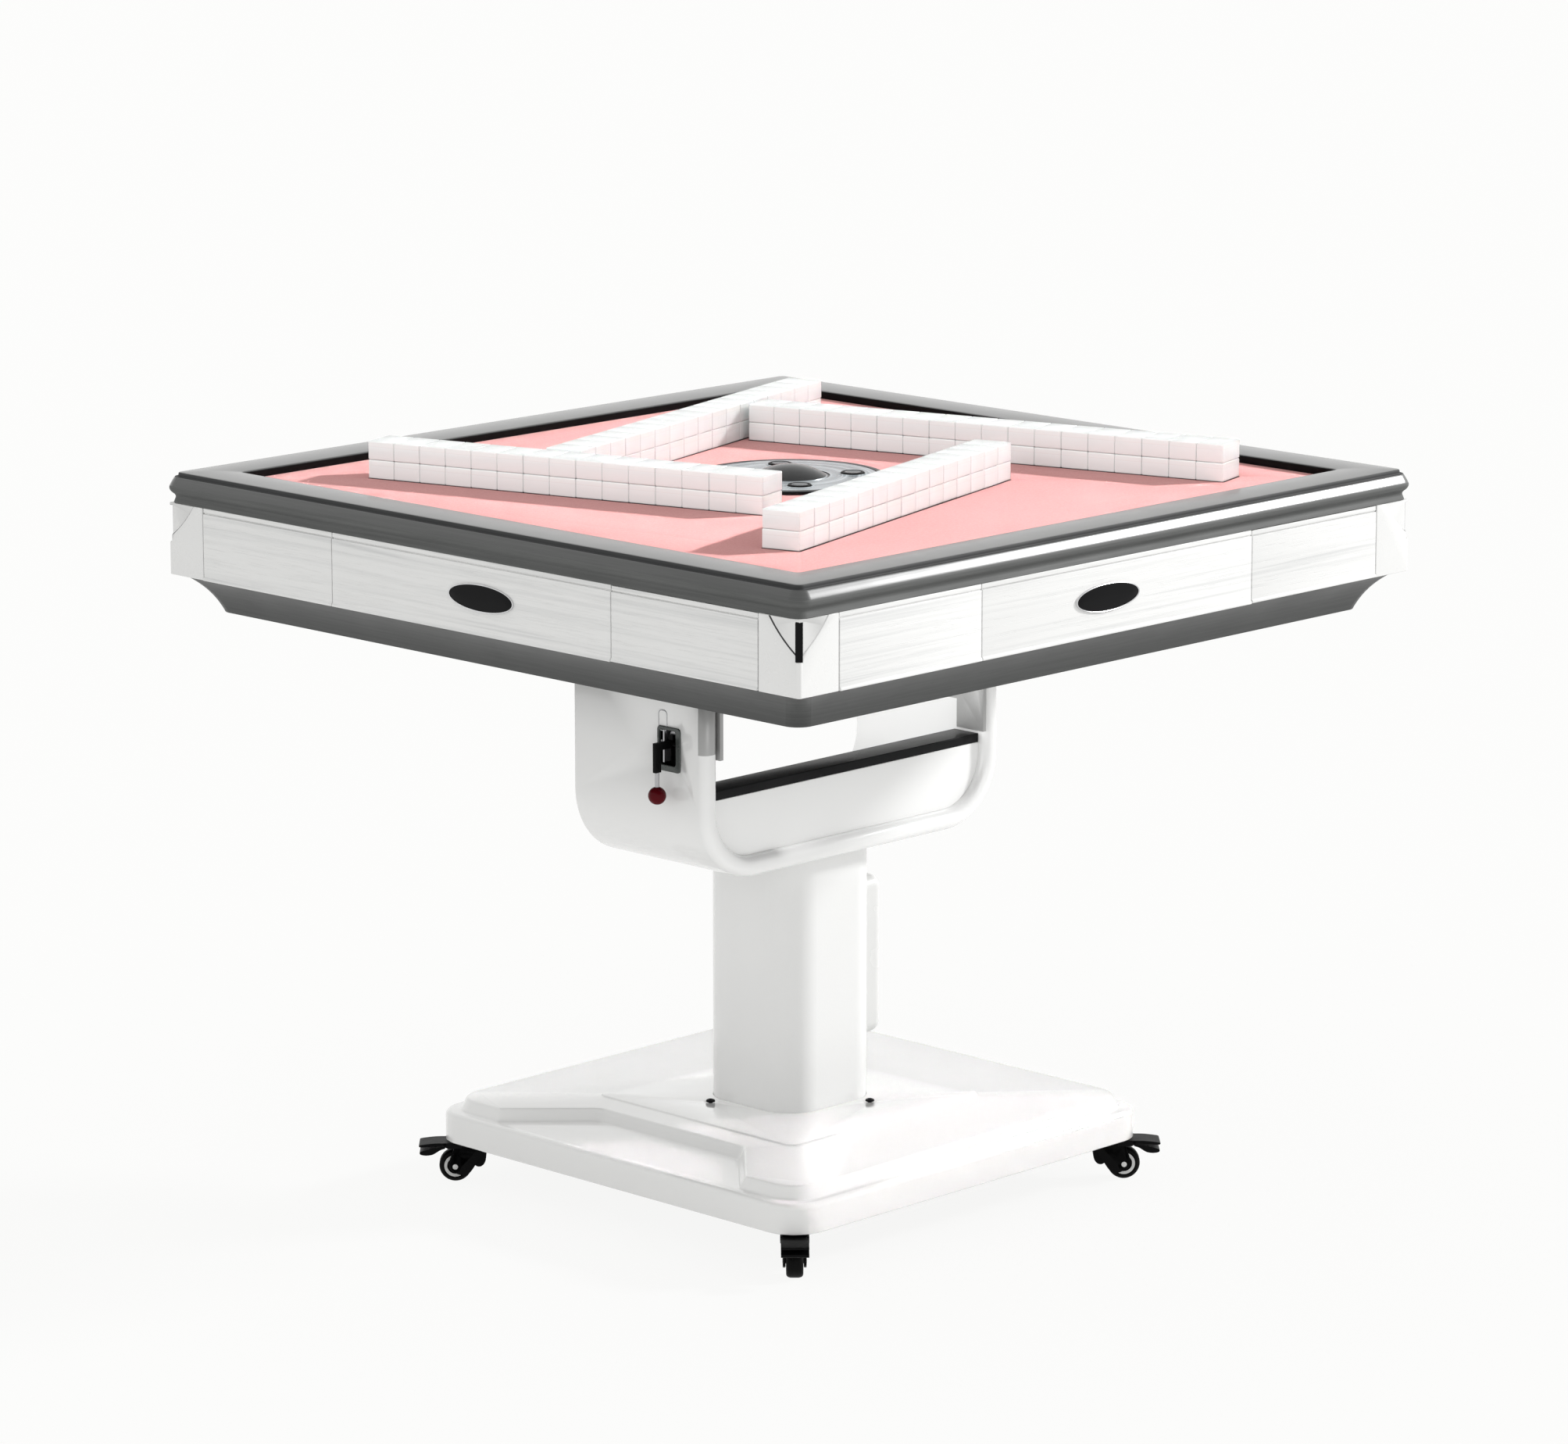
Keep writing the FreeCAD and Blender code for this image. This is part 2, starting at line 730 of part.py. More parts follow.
def make_pivot_brackets():
    """The hinge plates inside the arms; the one without the bolt has a tail down to the shelf."""
    brackets = []
    tail_x = (pivot_x - bracket_front, pivot_x + bracket_front)
    for side in (-1, 1):
        outer = arm_inner - arm_side_gap
        span = sorted((side * (outer - bracket_thickness), side * outer))
        plate = block(bracket_x, span, (bracket_low, fascia_low))
        reach = sorted((side * (outer - bracket_flange), side * outer))
        flange = block(bracket_x, reach, (fascia_low - bracket_flange_thickness, fascia_low))
        pieces = [plate, flange]
        if side > 0:
            pieces.append(block(tail_x, span, (shelf_top + bracket_shelf_gap, bracket_low)))
        bracket = joined(pieces)
        bores = [(pivot_x, pivot_z, pivot_radius + pin_gap), (latch_x, bolt_z, bolt_radius + running_gap)]
        for x, z, radius in bores:
            bracket = bracket.cut(Part.makeCylinder(radius, bracket_thickness, point(x, span[0], z), along_y))
        brackets.append(bracket)
    return brackets


def make_rim_frame():
    """A one-piece border: flat top, round bead, hollow neck and a foot, open over the play board."""
    bead_top = rim_top - bead_drop
    shoulder = slab(rim_half - rim_shoulder, rim_half - rim_shoulder, rim_corner - rim_shoulder / 2,
                    bead_top - bead_height / 2, rim_top)
    shoulder = shoulder.makeFillet(bead_drop / 2, level_edges(shoulder, rim_top, 0))
    bead = slab(rim_half, rim_half, rim_corner, bead_top - bead_height, bead_top)
    rounds = level_edges(bead, bead_top, 0) + level_edges(bead, bead_top - bead_height, 0)
    bead = bead.makeFillet((bead_height - bead_flat) / 2, rounds)
    neck_half = rim_half - rim_neck_inset
    neck = slab(neck_half, neck_half, rim_corner - rim_neck_inset / 2, rim_low, bead_top - bead_height / 2)
    foot_half = rim_half - rim_foot_inset
    foot = slab(foot_half, foot_half, rim_corner - rim_foot_inset / 2, rim_low, rim_low + rim_foot_height)
    frame = joined([shoulder, bead, neck, foot])
    frame = frame.cut(slab(play_half, play_half, rim_inner_corner, rim_low, rim_top))
    return frame.cut(slab(board_half, board_half, rim_inner_corner, rim_low, board_top))


def wall_frame(shape, side):
    """Puts a shape drawn square to the table on one of the four slanting tile walls."""
    return turned(shape, wall_turn + 90 * side)


def lift_plan(side, margin, low, high):
    """The long flat outline shared by a lift plate and its slot."""
    half = tile_length / 2 + margin
    across = -wall_offsets[side]
    return block((wall_starts[side] - margin, wall_ends[side] + margin), (across - half, across + half),
                 (low, high))


def with_table_holes(sheet, low, high):
    for side in range(4):
        slot = lift_plan(side, lift_plate_margin + lift_slot_gap, low, high)
        sheet = sheet.cut(wall_frame(slot, side))
    return sheet.cut(disc(dish_plug_radius + dish_hole_gap, low, high))


def make_play_board():
    half = board_half - running_gap
    return with_table_holes(slab(half, half, rim_inner_corner, board_low, board_top), board_low, board_top)


def make_felt_cloth():
    half = play_half - running_gap
    return with_table_holes(slab(half, half, rim_inner_corner, board_top, felt_top), board_top, felt_top)


def side_panel(span, low, high):
    """One board of the -Y side: a lip below, a groove and a set-back strip along its top."""
    face = -fascia_half
    board = block(span, (face, face + panel_thickness), (low, high))
    strip_low = high - panel_strip
    strip = block(span, (face, face + panel_strip_depth), (strip_low, high))
    groove = block(span, (face, face + panel_groove_depth), (strip_low - panel_groove, strip_low))
    proud = face - panel_lip_depth
    section = [(face, low), (proud, low), (proud, low + panel_lip / 2), (face, low + panel_lip)]
    lip = prism([point(span[0], y, z) for y, z in section], point(span[1] - span[0], 0, 0))
    return joined([board.cut(strip).cut(groove), lip])


def make_fascia_panels():
    panels = []
    half_seam = seam / 2
    for left, right in ((-cap_edge, -panel_edge), (-panel_edge, panel_edge)):
        panels += four(side_panel((left + half_seam, right - half_seam), fascia_low, rim_low))
    return panels


def facet_cut(face_x):
    """The scooped three-cornered facet at the upper outer end of a corner cap's -Y face."""
    top = rim_low
    corner_x = face_x
    start = point(corner_x - cap_facet_width, -fascia_half, top)
    end = point(corner_x, -fascia_half, top - cap_facet_height)
    middle = point(corner_x - cap_facet_width / 2 - cap_facet_sag, -fascia_half,
                   top - cap_facet_height / 2 - cap_facet_sag)
    edges = [Part.Arc(start, middle, end).toShape(),
             Part.LineSegment(end, point(corner_x, -fascia_half, top)).toShape(),
             Part.LineSegment(point(corner_x, -fascia_half, top), start).toShape()]
    return Part.Face(Part.Wire(edges)).extrude(point(0, cap_facet_depth, 0))


def corner_strip(gap, proud):
    """The upright strip set at 45 degrees into the outer corner at +X, -Y, from the post outwards."""
    half = corner_strip_width / 2 + gap
    out = fascia_half * math.sqrt(2) - corner_strip_width / 2 + proud
    inner = (fascia_inner - corner_post_size / 2) * math.sqrt(2)
    top = rim_low - corner_strip_drop + gap
    low = rim_low - corner_strip_drop - corner_strip_height - gap
    strip = block((inner, out), (-half, half), (low, top))
    return turned(strip, -45)


def make_corner_caps():
    edge_low = cap_edge + seam / 2
    outer = block((edge_low, fascia_half), (-fascia_half, -edge_low), (fascia_low, rim_low))
    corner = [edge for edge in outer.Edges
              if edge.BoundBox.XMin > fascia_half - 1e-4 and edge.BoundBox.YMax < -fascia_half + 1e-4]
    outer = outer.makeFillet(cap_round, corner)
    cap = outer.cut(block((0, fascia_inner), (-fascia_inner, 0), (fascia_low, rim_low)))
    facet = facet_cut(fascia_half)
    mirrored = facet.mirror(point(0, 0, 0), point(1, 1, 0))
    return four(cap.cut(facet).cut(mirrored).cut(corner_strip(pin_gap, corner_strip_width)))


def make_corner_posts():
    low = fascia_inner - corner_post_size
    post = block((low, fascia_inner), (-fascia_inner, -low), (chassis_top, rim_low))
    return four(joined([post, corner_strip(0, -corner_strip_sink)]))


def make_badges():
    """An oval on each side, a little off the middle towards the +X, -Y or the -X, +Y corner."""
    oval = Part.Ellipse(point(0, 0, 0), badge_width / 2, badge_height / 2).toShape()
    badges = []
    for side, shift in enumerate((badge_shift, -badge_shift) * 2):
        badge = Part.Face(Part.Wire(oval)).extrude(point(0, 0, -badge_thickness))
        place = point(shift, -fascia_half - badge_thickness, fascia_low + fascia_height / 2)
        badge.Placement = FreeCAD.Placement(place, FreeCAD.Rotation(along_x, 90))
        badges.append(turned(badge, 90 * side))
    return badges


def lift_post_places(side):
    return [(along, -wall_offsets[side]) for along in (outer_posts[side], inner_posts[side])]


def post_plan(width, low, high, along, across):
    half = width / 2
    return block((along - half, along + half), (across - half, across + half), (low, high))


def roller_place():
    angle = math.radians(roller_turn)
    return roller_reach * math.cos(angle), roller_reach * math.sin(angle)


def make_chassis_plate():
    half = fascia_inner - running_gap
    plate = slab(half, half, rim_inner_corner, fascia_low, chassis_top)
    tube_top = board_low - guide_tube_gap
    tube = disc(guide_tube_radius, chassis_top, tube_top)
    boss = disc(guide_tube_radius + boss_width, chassis_top, chassis_top + boss_height)
    plate = joined([plate, tube, boss])
    bore = guide_tube_radius - guide_tube_wall
    plate = plate.cut(disc(bore, chassis_top, tube_top))
    for side in range(4):
        for along, across in lift_post_places(side):
            hole = post_plan(lift_post_width + 2 * running_gap, fascia_low, chassis_top, along, across)
            plate = plate.cut(wall_frame(hole, side))
    x, y = roller_place()
    return plate.cut(disc(roller_shaft_radius + running_gap, fascia_low, chassis_top, x, y))


def make_lift_guides():
    guides = []
    for side in range(4):
        for along, across in lift_post_places(side):
            bore = post_plan(lift_post_width + 2 * running_gap, chassis_top, under_lift, along, across)
            body = post_plan(2 * guide_half, chassis_top, under_lift, along, across)
            guides.append(wall_frame(body.cut(bore), side))
    return guides


def make_drawer_runners():
    runners = []
    near = fascia_inner - running_gap
    depth = (-near, -tray_back_reach)
    for edge_x, inward in ((panel_edge, 1), (cap_edge, -1)):
        wall_x = edge_x + inward * (tray_side_inset - running_gap)
        upright = sorted((wall_x - inward * runner_wall, wall_x))
        shelf = sorted((wall_x - inward * runner_wall, wall_x + inward * runner_shelf))
        runner = joined([block(upright, depth, (chassis_top, chassis_top + runner_height)),
                         block(shelf, depth, (chassis_top, chassis_top + runner_flange))])
        runners += four(runner)
    return runners


def make_drawer():
    """The -Y side's drawer: its front board and an open tray behind it."""
    half_seam = seam / 2
    span = (panel_edge + half_seam, cap_edge - half_seam)
    front = side_panel(span, fascia_low + half_seam, rim_low - half_seam)
    wide = (panel_edge + tray_side_inset, cap_edge - tray_side_inset)
    deep = (-fascia_inner, -tray_back_reach)
    tray = block(wide, deep, (tray_low, under_lift))
    room = block((wide[0] + tray_wall, wide[1] - tray_wall), (deep[0] + tray_wall, deep[1] - tray_wall),
                 (tray_low + tray_wall, under_lift))
    return [front, tray.cut(room)]


def make_tile_lift(side):
    plate = lift_plan(side, lift_plate_margin, lift_plate_low, felt_top)
    pieces = [plate]
    for along, across in lift_post_places(side):
        pieces.append(post_plan(lift_post_width, lift_post_low, lift_plate_low, along, across))
    return joined(pieces)


def make_tile_wall(side):
    tiles = []
    deep = (-wall_offsets[side] - tile_length / 2, -wall_offsets[side] + tile_length / 2)
    for stack in range(wall_stacks[side]):
        for layer in range(layers):
            x = wall_starts[side] + stack * tile_pitch
            z = felt_top + layer * (tile_thickness + tile_gap)
            tiles.append(block((x, x + tile_width), deep, (z, z + tile_thickness)))
    return Part.makeCompound(tiles)


# Shuffling gear

def make_turntable():
    top = turntable_low + turntable_thickness
    plate = ring(turntable_radius, guide_tube_radius + running_gap, turntable_low, top)
    lip = ring(turntable_radius, turntable_radius - turntable_lip_width, turntable_low, top + turntable_lip)
    return joined([plate, lip])


def make_drive_roller():
    x, y = roller_place()
    wheel = disc(roller_radius, turntable_low, turntable_low + roller_height, x, y)
    shaft = disc(roller_shaft_radius, fascia_low - motor_socket + running_gap, turntable_low, x, y)
    return joined([wheel, shaft])


def make_shuffle_motor():
    x, y = roller_place()
    body = disc(motor_radius, fascia_low - motor_height, fascia_low, x, y)
    return body.cut(disc(roller_shaft_radius + running_gap, fascia_low - motor_socket, fascia_low, x, y))


# Centre controls

def button_place(number):
    angle = math.radians(button_turn + 90 * number)
    return button_ring * math.cos(angle), button_ring * math.sin(angle)


def make_centre_lift_tube():
    low = chassis_top + running_gap
    return ring(lift_tube_radius, lift_tube_radius - lift_tube_wall, low, dish_low)


def make_control_dish():
    flange = disc(dish_radius, dish_top - dish_flange, dish_top)
    flange = flange.makeFillet(dish_flange / 2, level_edges(flange, dish_top, 0))
    dish = joined([flange, disc(dish_plug_radius, dish_low, dish_top - dish_flange)])
    floor = dish_low + dish_floor
    dish = dish.cut(disc(dice_well_radius, floor, dish_top))
    dish = dish.cut(disc(dice_spindle_radius + pin_gap, dish_low, floor))
    for number in range(4):
        x, y = button_place(number)
        dish = dish.cut(disc(button_radius + running_gap, floor, dish_top, x, y))
    return dish


def make_button(number):
    x, y = button_place(number)
    top = dish_top + button_proud
    button = disc(button_radius, top - button_height, top, x, y)
    return button.makeFillet(button_proud / 2, level_edges(button, top, 0))


def make_dice_plate():
    low = dish_low + dish_floor + dice_plate_rise
    plate = disc(dice_well_radius - running_gap, low, low + dice_plate_thickness)
    spindle = disc(dice_spindle_radius, low - dice_spindle_length, low)
    pieces = [joined([plate, spindle])]
    top = low + dice_plate_thickness
    half = dice_size / 2
    for side in (-1, 1):
        die = block((-half, half), (-half, half), (top, top + dice_size))
        die.rotate(point(0, 0, 0), up, dice_turn * side)
        die.translate(point(side * dice_spread, side * dice_size / 4, 0))
        pieces.append(die)
    return pieces


def make_dice_dome():
    centre = point(0, 0, dish_top + dome_height - dome_sphere)
    shell = Part.makeSphere(dome_sphere, centre).cut(Part.makeSphere(dome_sphere - dome_thickness, centre))
    return shell.common(disc(dome_radius, dish_top, dish_top + dome_height))


# The stand
save("base_plate", make_base_plate())
save("base_cover", make_base_cover())
save("column", make_column())
save("stand_screws", make_stand_screws())
save("power_box", make_power_box())
save("yoke_shell", make_yoke_shell())
save("yoke_web_panels", make_yoke_web_panels())
save("yoke_shelf", make_yoke_shelf())
save("pivot_pins", make_pivot_pins())
save("latch_pocket", make_latch_pocket())
save("latch_lever", make_latch_lever())
save("lock_bolt", make_lock_bolt())

castor_plate = make_castor_plate()
castor_fork = Part.makeCompound(make_castor_fork())
castor_wheel = Part.makeCompound(make_castor_wheel())
castor_pedal = make_castor_pedal()
save("castor_plates", [castor_placed(castor_plate, corner) for corner in range(4)])
for corner in range(4):
    save(f"castor_fork_{corner + 1}", castor_placed(castor_fork, corner))
    save(f"castor_wheel_{corner + 1}", castor_placed(castor_wheel, corner))
    save(f"castor_pedal_{corner + 1}", castor_placed(castor_pedal, corner))

# The table
save("bottom_pan", make_bottom_pan())
save("pivot_brackets", make_pivot_brackets())
save("chassis_plate", make_chassis_plate())
save("rim_frame", make_rim_frame())
save("play_board", make_play_board())
save("felt_cloth", make_felt_cloth())
save("fascia_panels", make_fascia_panels())
save("corner_caps", make_corner_caps())
save("corner_posts", make_corner_posts())
save("badges", make_badges())
save("lift_guides", make_lift_guides())
save("drawer_runners", make_drawer_runners())
save("shuffle_motor", make_shuffle_motor())
save("turntable", make_turntable())
save("drive_roller", make_drive_roller())
save("centre_lift_tube", make_centre_lift_tube())
save("control_dish", make_control_dish())
save("dice_plate", make_dice_plate())
save("dice_dome", make_dice_dome())
for number in range(4):
    save(f"button_{number + 1}", make_button(number))

drawer = Part.makeCompound(make_drawer())
for side in range(4):
    save(f"drawer_{side + 1}", turned(drawer, 90 * side))
    save(f"tile_lift_{side + 1}", wall_frame(make_tile_lift(side), side))
    save(f"tile_wall_{side + 1}", wall_frame(make_tile_wall(side), side))
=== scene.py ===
import math
import random

import bmesh
import bpy
from mathutils import Matrix, Vector


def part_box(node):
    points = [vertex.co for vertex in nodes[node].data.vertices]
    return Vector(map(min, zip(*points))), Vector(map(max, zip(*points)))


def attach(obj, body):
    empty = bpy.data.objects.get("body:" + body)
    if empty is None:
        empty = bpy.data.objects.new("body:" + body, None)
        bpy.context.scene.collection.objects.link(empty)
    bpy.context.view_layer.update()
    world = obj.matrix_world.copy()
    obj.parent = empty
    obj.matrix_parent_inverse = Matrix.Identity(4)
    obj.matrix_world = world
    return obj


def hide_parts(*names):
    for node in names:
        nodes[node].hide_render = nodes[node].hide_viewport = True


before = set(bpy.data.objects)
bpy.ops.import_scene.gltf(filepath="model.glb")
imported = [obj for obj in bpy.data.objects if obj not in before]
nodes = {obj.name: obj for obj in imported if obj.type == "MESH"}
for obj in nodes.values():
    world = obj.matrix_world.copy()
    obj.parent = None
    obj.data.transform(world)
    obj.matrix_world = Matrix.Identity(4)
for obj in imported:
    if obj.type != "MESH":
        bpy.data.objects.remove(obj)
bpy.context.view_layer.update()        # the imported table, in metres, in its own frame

scene = bpy.context.scene
print("frame loaded:", len(nodes), "nodes")


# Shader sockets with arithmetic

class Wire:
    def __init__(self, tree, socket):
        self.tree = tree
        self.socket = socket

    def maths(self, operation, first, second=0.0):
        return self.tree.node("ShaderNodeMath", {"operation": operation}, {0: first, 1: second})

    def __add__(self, other):
        return self.maths("ADD", self, other)

    def __sub__(self, other):
        return self.maths("SUBTRACT", self, other)

    def __rsub__(self, other):
        return self.maths("SUBTRACT", other, self)

    def __mul__(self, other):
        return self.maths("MULTIPLY", self, other)

    def __mod__(self, other):
        return self.maths("FLOORED_MODULO", self, other)

    def __pow__(self, other):
        return self.maths("POWER", self, other)

    def __gt__(self, other):
        return self.maths("GREATER_THAN", self, other)

    def __or__(self, other):
        return self.maths("MAXIMUM", self, other)

    __radd__ = __add__
    __rmul__ = __mul__


class Tree:
    def __init__(self, tree):
        self.tree = tree

    def feed(self, socket, value):
        if isinstance(value, Wire):
            self.tree.links.new(value.socket, socket)
        else:
            socket.default_value = value

    def node(self, kind, settings=None, links=None, output=0):
        made = self.tree.nodes.new(kind)
        for name, value in (settings or {}).items():
            setattr(made, name, value)
        for name, value in (links or {}).items():
            self.feed(made.inputs[name], value)
        return Wire(self, made.outputs[output])

    def seenRay(self):
        # one where the camera looks, straight, by a reflection or through the dome
        straight, mirrored, through = (self.node("ShaderNodeLightPath", output=f"Is {kind} Ray")
                                       for kind in ("Camera", "Glossy", "Transmission"))
        return straight | mirrored | through


class Finish(Tree):
    def __init__(self, name, fixed):
        self.material = bpy.data.materials.new(name)
        self.material.use_nodes = True
        super().__init__(self.material.node_tree)
        self.shader = self.tree.nodes["Principled BSDF"]
        for socket, value in fixed.items():
            self.shader.inputs[socket].default_value = value

    def place(self, stretch=(1, 1, 1)):
        spot = self.node("ShaderNodeTexCoord", output="Object")
        return self.node("ShaderNodeMapping", links={"Vector": spot, "Scale": stretch})

    def axis(self, letter):
        return self.node("ShaderNodeSeparateXYZ", links={0: self.place()}, output=letter)

    def noise(self, scale, detail=3.0, stretch=(1, 1, 1), warp=0.0):
        links = {"Vector": self.place(stretch), "Scale": scale, "Detail": detail, "Distortion": warp}
        return self.node("ShaderNodeTexNoise", links=links)

    def spread(self, value, low, high):
        links = {0: value, 1: low, 2: high, 3: 0.0, 4: 1.0}
        return self.node("ShaderNodeMapRange", {"interpolation_type": "SMOOTHSTEP"}, links)

    def mix(self, factor, first, second):
        links = {0: factor, 6: opaque(first), 7: opaque(second)}
        return self.node("ShaderNodeMix", {"data_type": "RGBA"}, links, output=2)

    def set(self, socket, value):
        self.feed(self.shader.inputs[socket], value)

    def gloss(self, span, pattern):
        smooth, rough = span
        self.set("Roughness", smooth + (rough - smooth) * pattern)

    def bump(self, height, depth, strength=1.0):
        links = {"Height": height, "Distance": depth, "Strength": strength}
        self.set("Normal", self.node("ShaderNodeBump", links=links))


def opaque(colour):
    return colour if isinstance(colour, Wire) else (*colour, 1.0)


# Moulded plastics and paints: a faint cloud in the colour, smears in the gloss, a fine skin

def cloudedFinish(name, look):
    finish = Finish(name, look.get("fixed", {}))
    finish.set("Base Color", finish.mix(finish.noise(look["cloud"]), look["colour"], look["shade"]))
    finish.gloss(look["gloss"], finish.noise(look["smear"], look.get("detail", 5.0)))
    return finish


def mouldedFinish(name, look):
    finish = cloudedFinish(name, look)
    finish.bump(finish.noise(look["skin"], 2.0), look["skinDepth"])
    return finish.material


mouldedKeys = ("colour", "shade", "cloud", "gloss", "smear", "skin", "skinDepth", "fixed")
mouldedRows = {
    "whiteGloss": ((0.85, 0.85, 0.842), (0.82, 0.82, 0.812), 4.0, (0.10, 0.22), 9.0, 120.0, 0.00002,
                   {"Coat Weight": 1.0, "Coat Roughness": 0.05, "Coat IOR": 1.6}),
    "whitePaint": ((0.87, 0.87, 0.864), (0.84, 0.84, 0.834), 5.0, (0.14, 0.26), 12.0, 420.0, 0.00005,
                   {"Coat Weight": 0.4, "Coat Roughness": 0.06}),
    "boxWhite": ((0.76, 0.76, 0.752), (0.73, 0.73, 0.722), 6.0, (0.20, 0.32), 16.0, 300.0, 0.00003),
    "capWhite": ((0.79, 0.79, 0.784), (0.755, 0.755, 0.75), 30.0, (0.22, 0.34), 40.0, 900.0, 0.00006),
    "blackPlastic": ((0.0016, 0.0016, 0.0018), (0.004, 0.004, 0.0042), 35.0, (0.30, 0.46), 60.0, 1800.0,
                     0.00008, {"Specular IOR Level": 0.07}),
    "blackGloss": ((0.003, 0.003, 0.0035), (0.005, 0.005, 0.0055), 20.0, (0.05, 0.14), 30.0, 300.0, 0.00002,
                   {"Specular IOR Level": 0.10}),
    "shelfBlack": ((0.012, 0.012, 0.0125), (0.030, 0.030, 0.031), 14.0, (0.10, 0.24), 22.0, 500.0, 0.00004,
                   {"Specular IOR Level": 0.02}),
    "darkSteel": ((0.040, 0.040, 0.042), (0.062, 0.062, 0.064), 40.0, (0.32, 0.46), 70.0, 1400.0, 0.00006,
                  {"Metallic": 0.3}),
    "bracketGrey": ((0.34, 0.34, 0.336), (0.42, 0.42, 0.416), 30.0, (0.26, 0.40), 60.0, 1200.0, 0.00005,
                    {"Metallic": 0.3}),
    "latchGrey": ((0.048, 0.055, 0.052), (0.085, 0.095, 0.090), 60.0, (0.20, 0.34), 90.0, 1400.0, 0.00004,
                  {"Metallic": 0.2}),
    "buttonGrey": ((0.016, 0.022, 0.028), (0.030, 0.040, 0.050), 120.0, (0.10, 0.20), 140.0, 1800.0, 0.00003),
    "diceWhite": ((0.80, 0.79, 0.77), (0.76, 0.75, 0.73), 80.0, (0.10, 0.20), 120.0, 900.0, 0.00002,
                  {"Coat Weight": 0.5, "Coat Roughness": 0.04}),
    "redBall": ((0.105, 0.004, 0.008), (0.075, 0.003, 0.006), 60.0, (0.08, 0.18), 90.0, 900.0, 0.00002,
                {"Specular IOR Level": 0.08}),
    "tyreBlack": ((0.002, 0.002, 0.002), (0.005, 0.005, 0.0048), 120.0, (0.42, 0.62), 150.0, 2600.0, 0.00012,
                  {"Specular IOR Level": 0.08}),
    "hubLight": ((0.80, 0.80, 0.79), (0.66, 0.66, 0.65), 140.0, (0.20, 0.36), 160.0, 2200.0, 0.00004),
    "boardBrown": ((0.50, 0.38, 0.26), (0.40, 0.29, 0.19), 120.0, (0.55, 0.75), 200.0, 1500.0, 0.00015),
    "silverRim": ((0.72, 0.72, 0.73), (0.60, 0.60, 0.61), 90.0, (0.12, 0.24), 120.0, 1500.0, 0.00002,
                  {"Metallic": 1.0})}
mouldedLooks = {name: dict(zip(mouldedKeys, row)) for name, row in mouldedRows.items()}
(whiteGloss, whitePaint, boxWhite, capWhite, blackPlastic, blackGloss, shelfBlack, darkSteel,
 bracketGrey, latchGrey, buttonGrey, diceWhite, redBall, tyreBlack, hubLight, boardBrown, silverRim) = (
    mouldedFinish(name, look) for name, look in mouldedLooks.items())


# Brushed steel of the plates, pins and runners

steelLook = {"colour": (0.52, 0.52, 0.53), "shade": (0.40, 0.40, 0.41), "brush": 60.0,
             "stretch": (1, 14, 14), "brushDepth": 0.00004, "gloss": (0.24, 0.44)}


def brushedFinish(look):
    finish = Finish("brushedSteel", {"Metallic": 0.9})
    lines = finish.noise(look["brush"], 6.0, look["stretch"])
    finish.set("Base Color", finish.mix(lines, look["shade"], look["colour"]))
    finish.gloss(look["gloss"], lines)
    finish.bump(lines, look["brushDepth"])
    return finish.material


# Turned grey disc: fine rings about the table's middle

discLook = {"colour": (0.24, 0.27, 0.29), "shade": (0.58, 0.63, 0.66), "ring": 300.0, "drift": 3.0,
            "ringSpan": (0.32, 0.68), "ringDepth": 0.00003, "gloss": (0.16, 0.32)}


def discFinish(look):
    finish = Finish("discGrey", {"Metallic": 0.45})
    across, along = finish.axis("X"), finish.axis("Y")
    away = (across * across + along * along) ** 0.5
    links = {"X": away * look["ring"], "Y": across * look["drift"], "Z": along * look["drift"]}
    spot = finish.node("ShaderNodeCombineXYZ", links=links)
    rings = finish.node("ShaderNodeTexNoise", links={"Vector": spot, "Scale": 1.0, "Detail": 4.0})
    tone = finish.spread(rings, *look["ringSpan"])
    finish.set("Base Color", finish.mix(tone, look["colour"], look["shade"]))
    finish.gloss(look["gloss"], rings)
    finish.bump(rings, look["ringDepth"])
    return finish.material


# Satin dark grey of the border and the pan: faint drawn lines round the table

satinLook = {"colour": (0.028, 0.030, 0.029), "shade": (0.040, 0.042, 0.041), "line": 9.0, "warp": 0.4,
             "stretch": (1, 1, 42), "lineSpan": (0.3, 0.7), "gloss": (0.30, 0.42), "smear": 18.0,
             "skin": 1300.0, "skinDepth": 0.00003, "coat": 0.0}
dullSatin = {**satinLook, "gloss": (0.55, 0.70)}


def satinFinish(name, look):
    finish = Finish(name, {"Coat Weight": look["coat"], "Coat Roughness": 0.14})
    lines = finish.noise(look["line"], 5.0, look["stretch"], look["warp"])
    tone = finish.spread(lines, *look["lineSpan"])
    finish.set("Base Color", finish.mix(tone, look["colour"], look["shade"]))
    finish.gloss(look["gloss"], finish.noise(look["smear"], 4.0))
    finish.bump(finish.noise(look["skin"], 2.0) + lines * 0.5, look["skinDepth"])
    return finish.material


# The corner facets lean towards the table's corners

facetLook = {**mouldedLooks["capWhite"], "lean": 0.30}


def facetFinish(look):
    finish = cloudedFinish("facetWhite", look)
    out = [finish.node("ShaderNodeMath", {"operation": "ABSOLUTE"}, {0: finish.axis(way)}) for way in "XY"]
    finish.bump((out[0] + out[1]) * -look["lean"], 1.0)
    return finish.material


# White ash foil: level streaks, broad soft bands and fine open pores

ashLook = {"pale": (0.79, 0.79, 0.783), "vein": (0.61, 0.615, 0.615), "streak": (3.2, 3.2, 210.0),
           "streakSpan": (0.46, 0.74), "band": (1.3, 1.3, 46.0), "bandSpan": (0.38, 0.72),
           "pore": (22.0, 22.0, 1500.0), "poreSpan": (0.56, 0.74), "poreDepth": 0.00010}


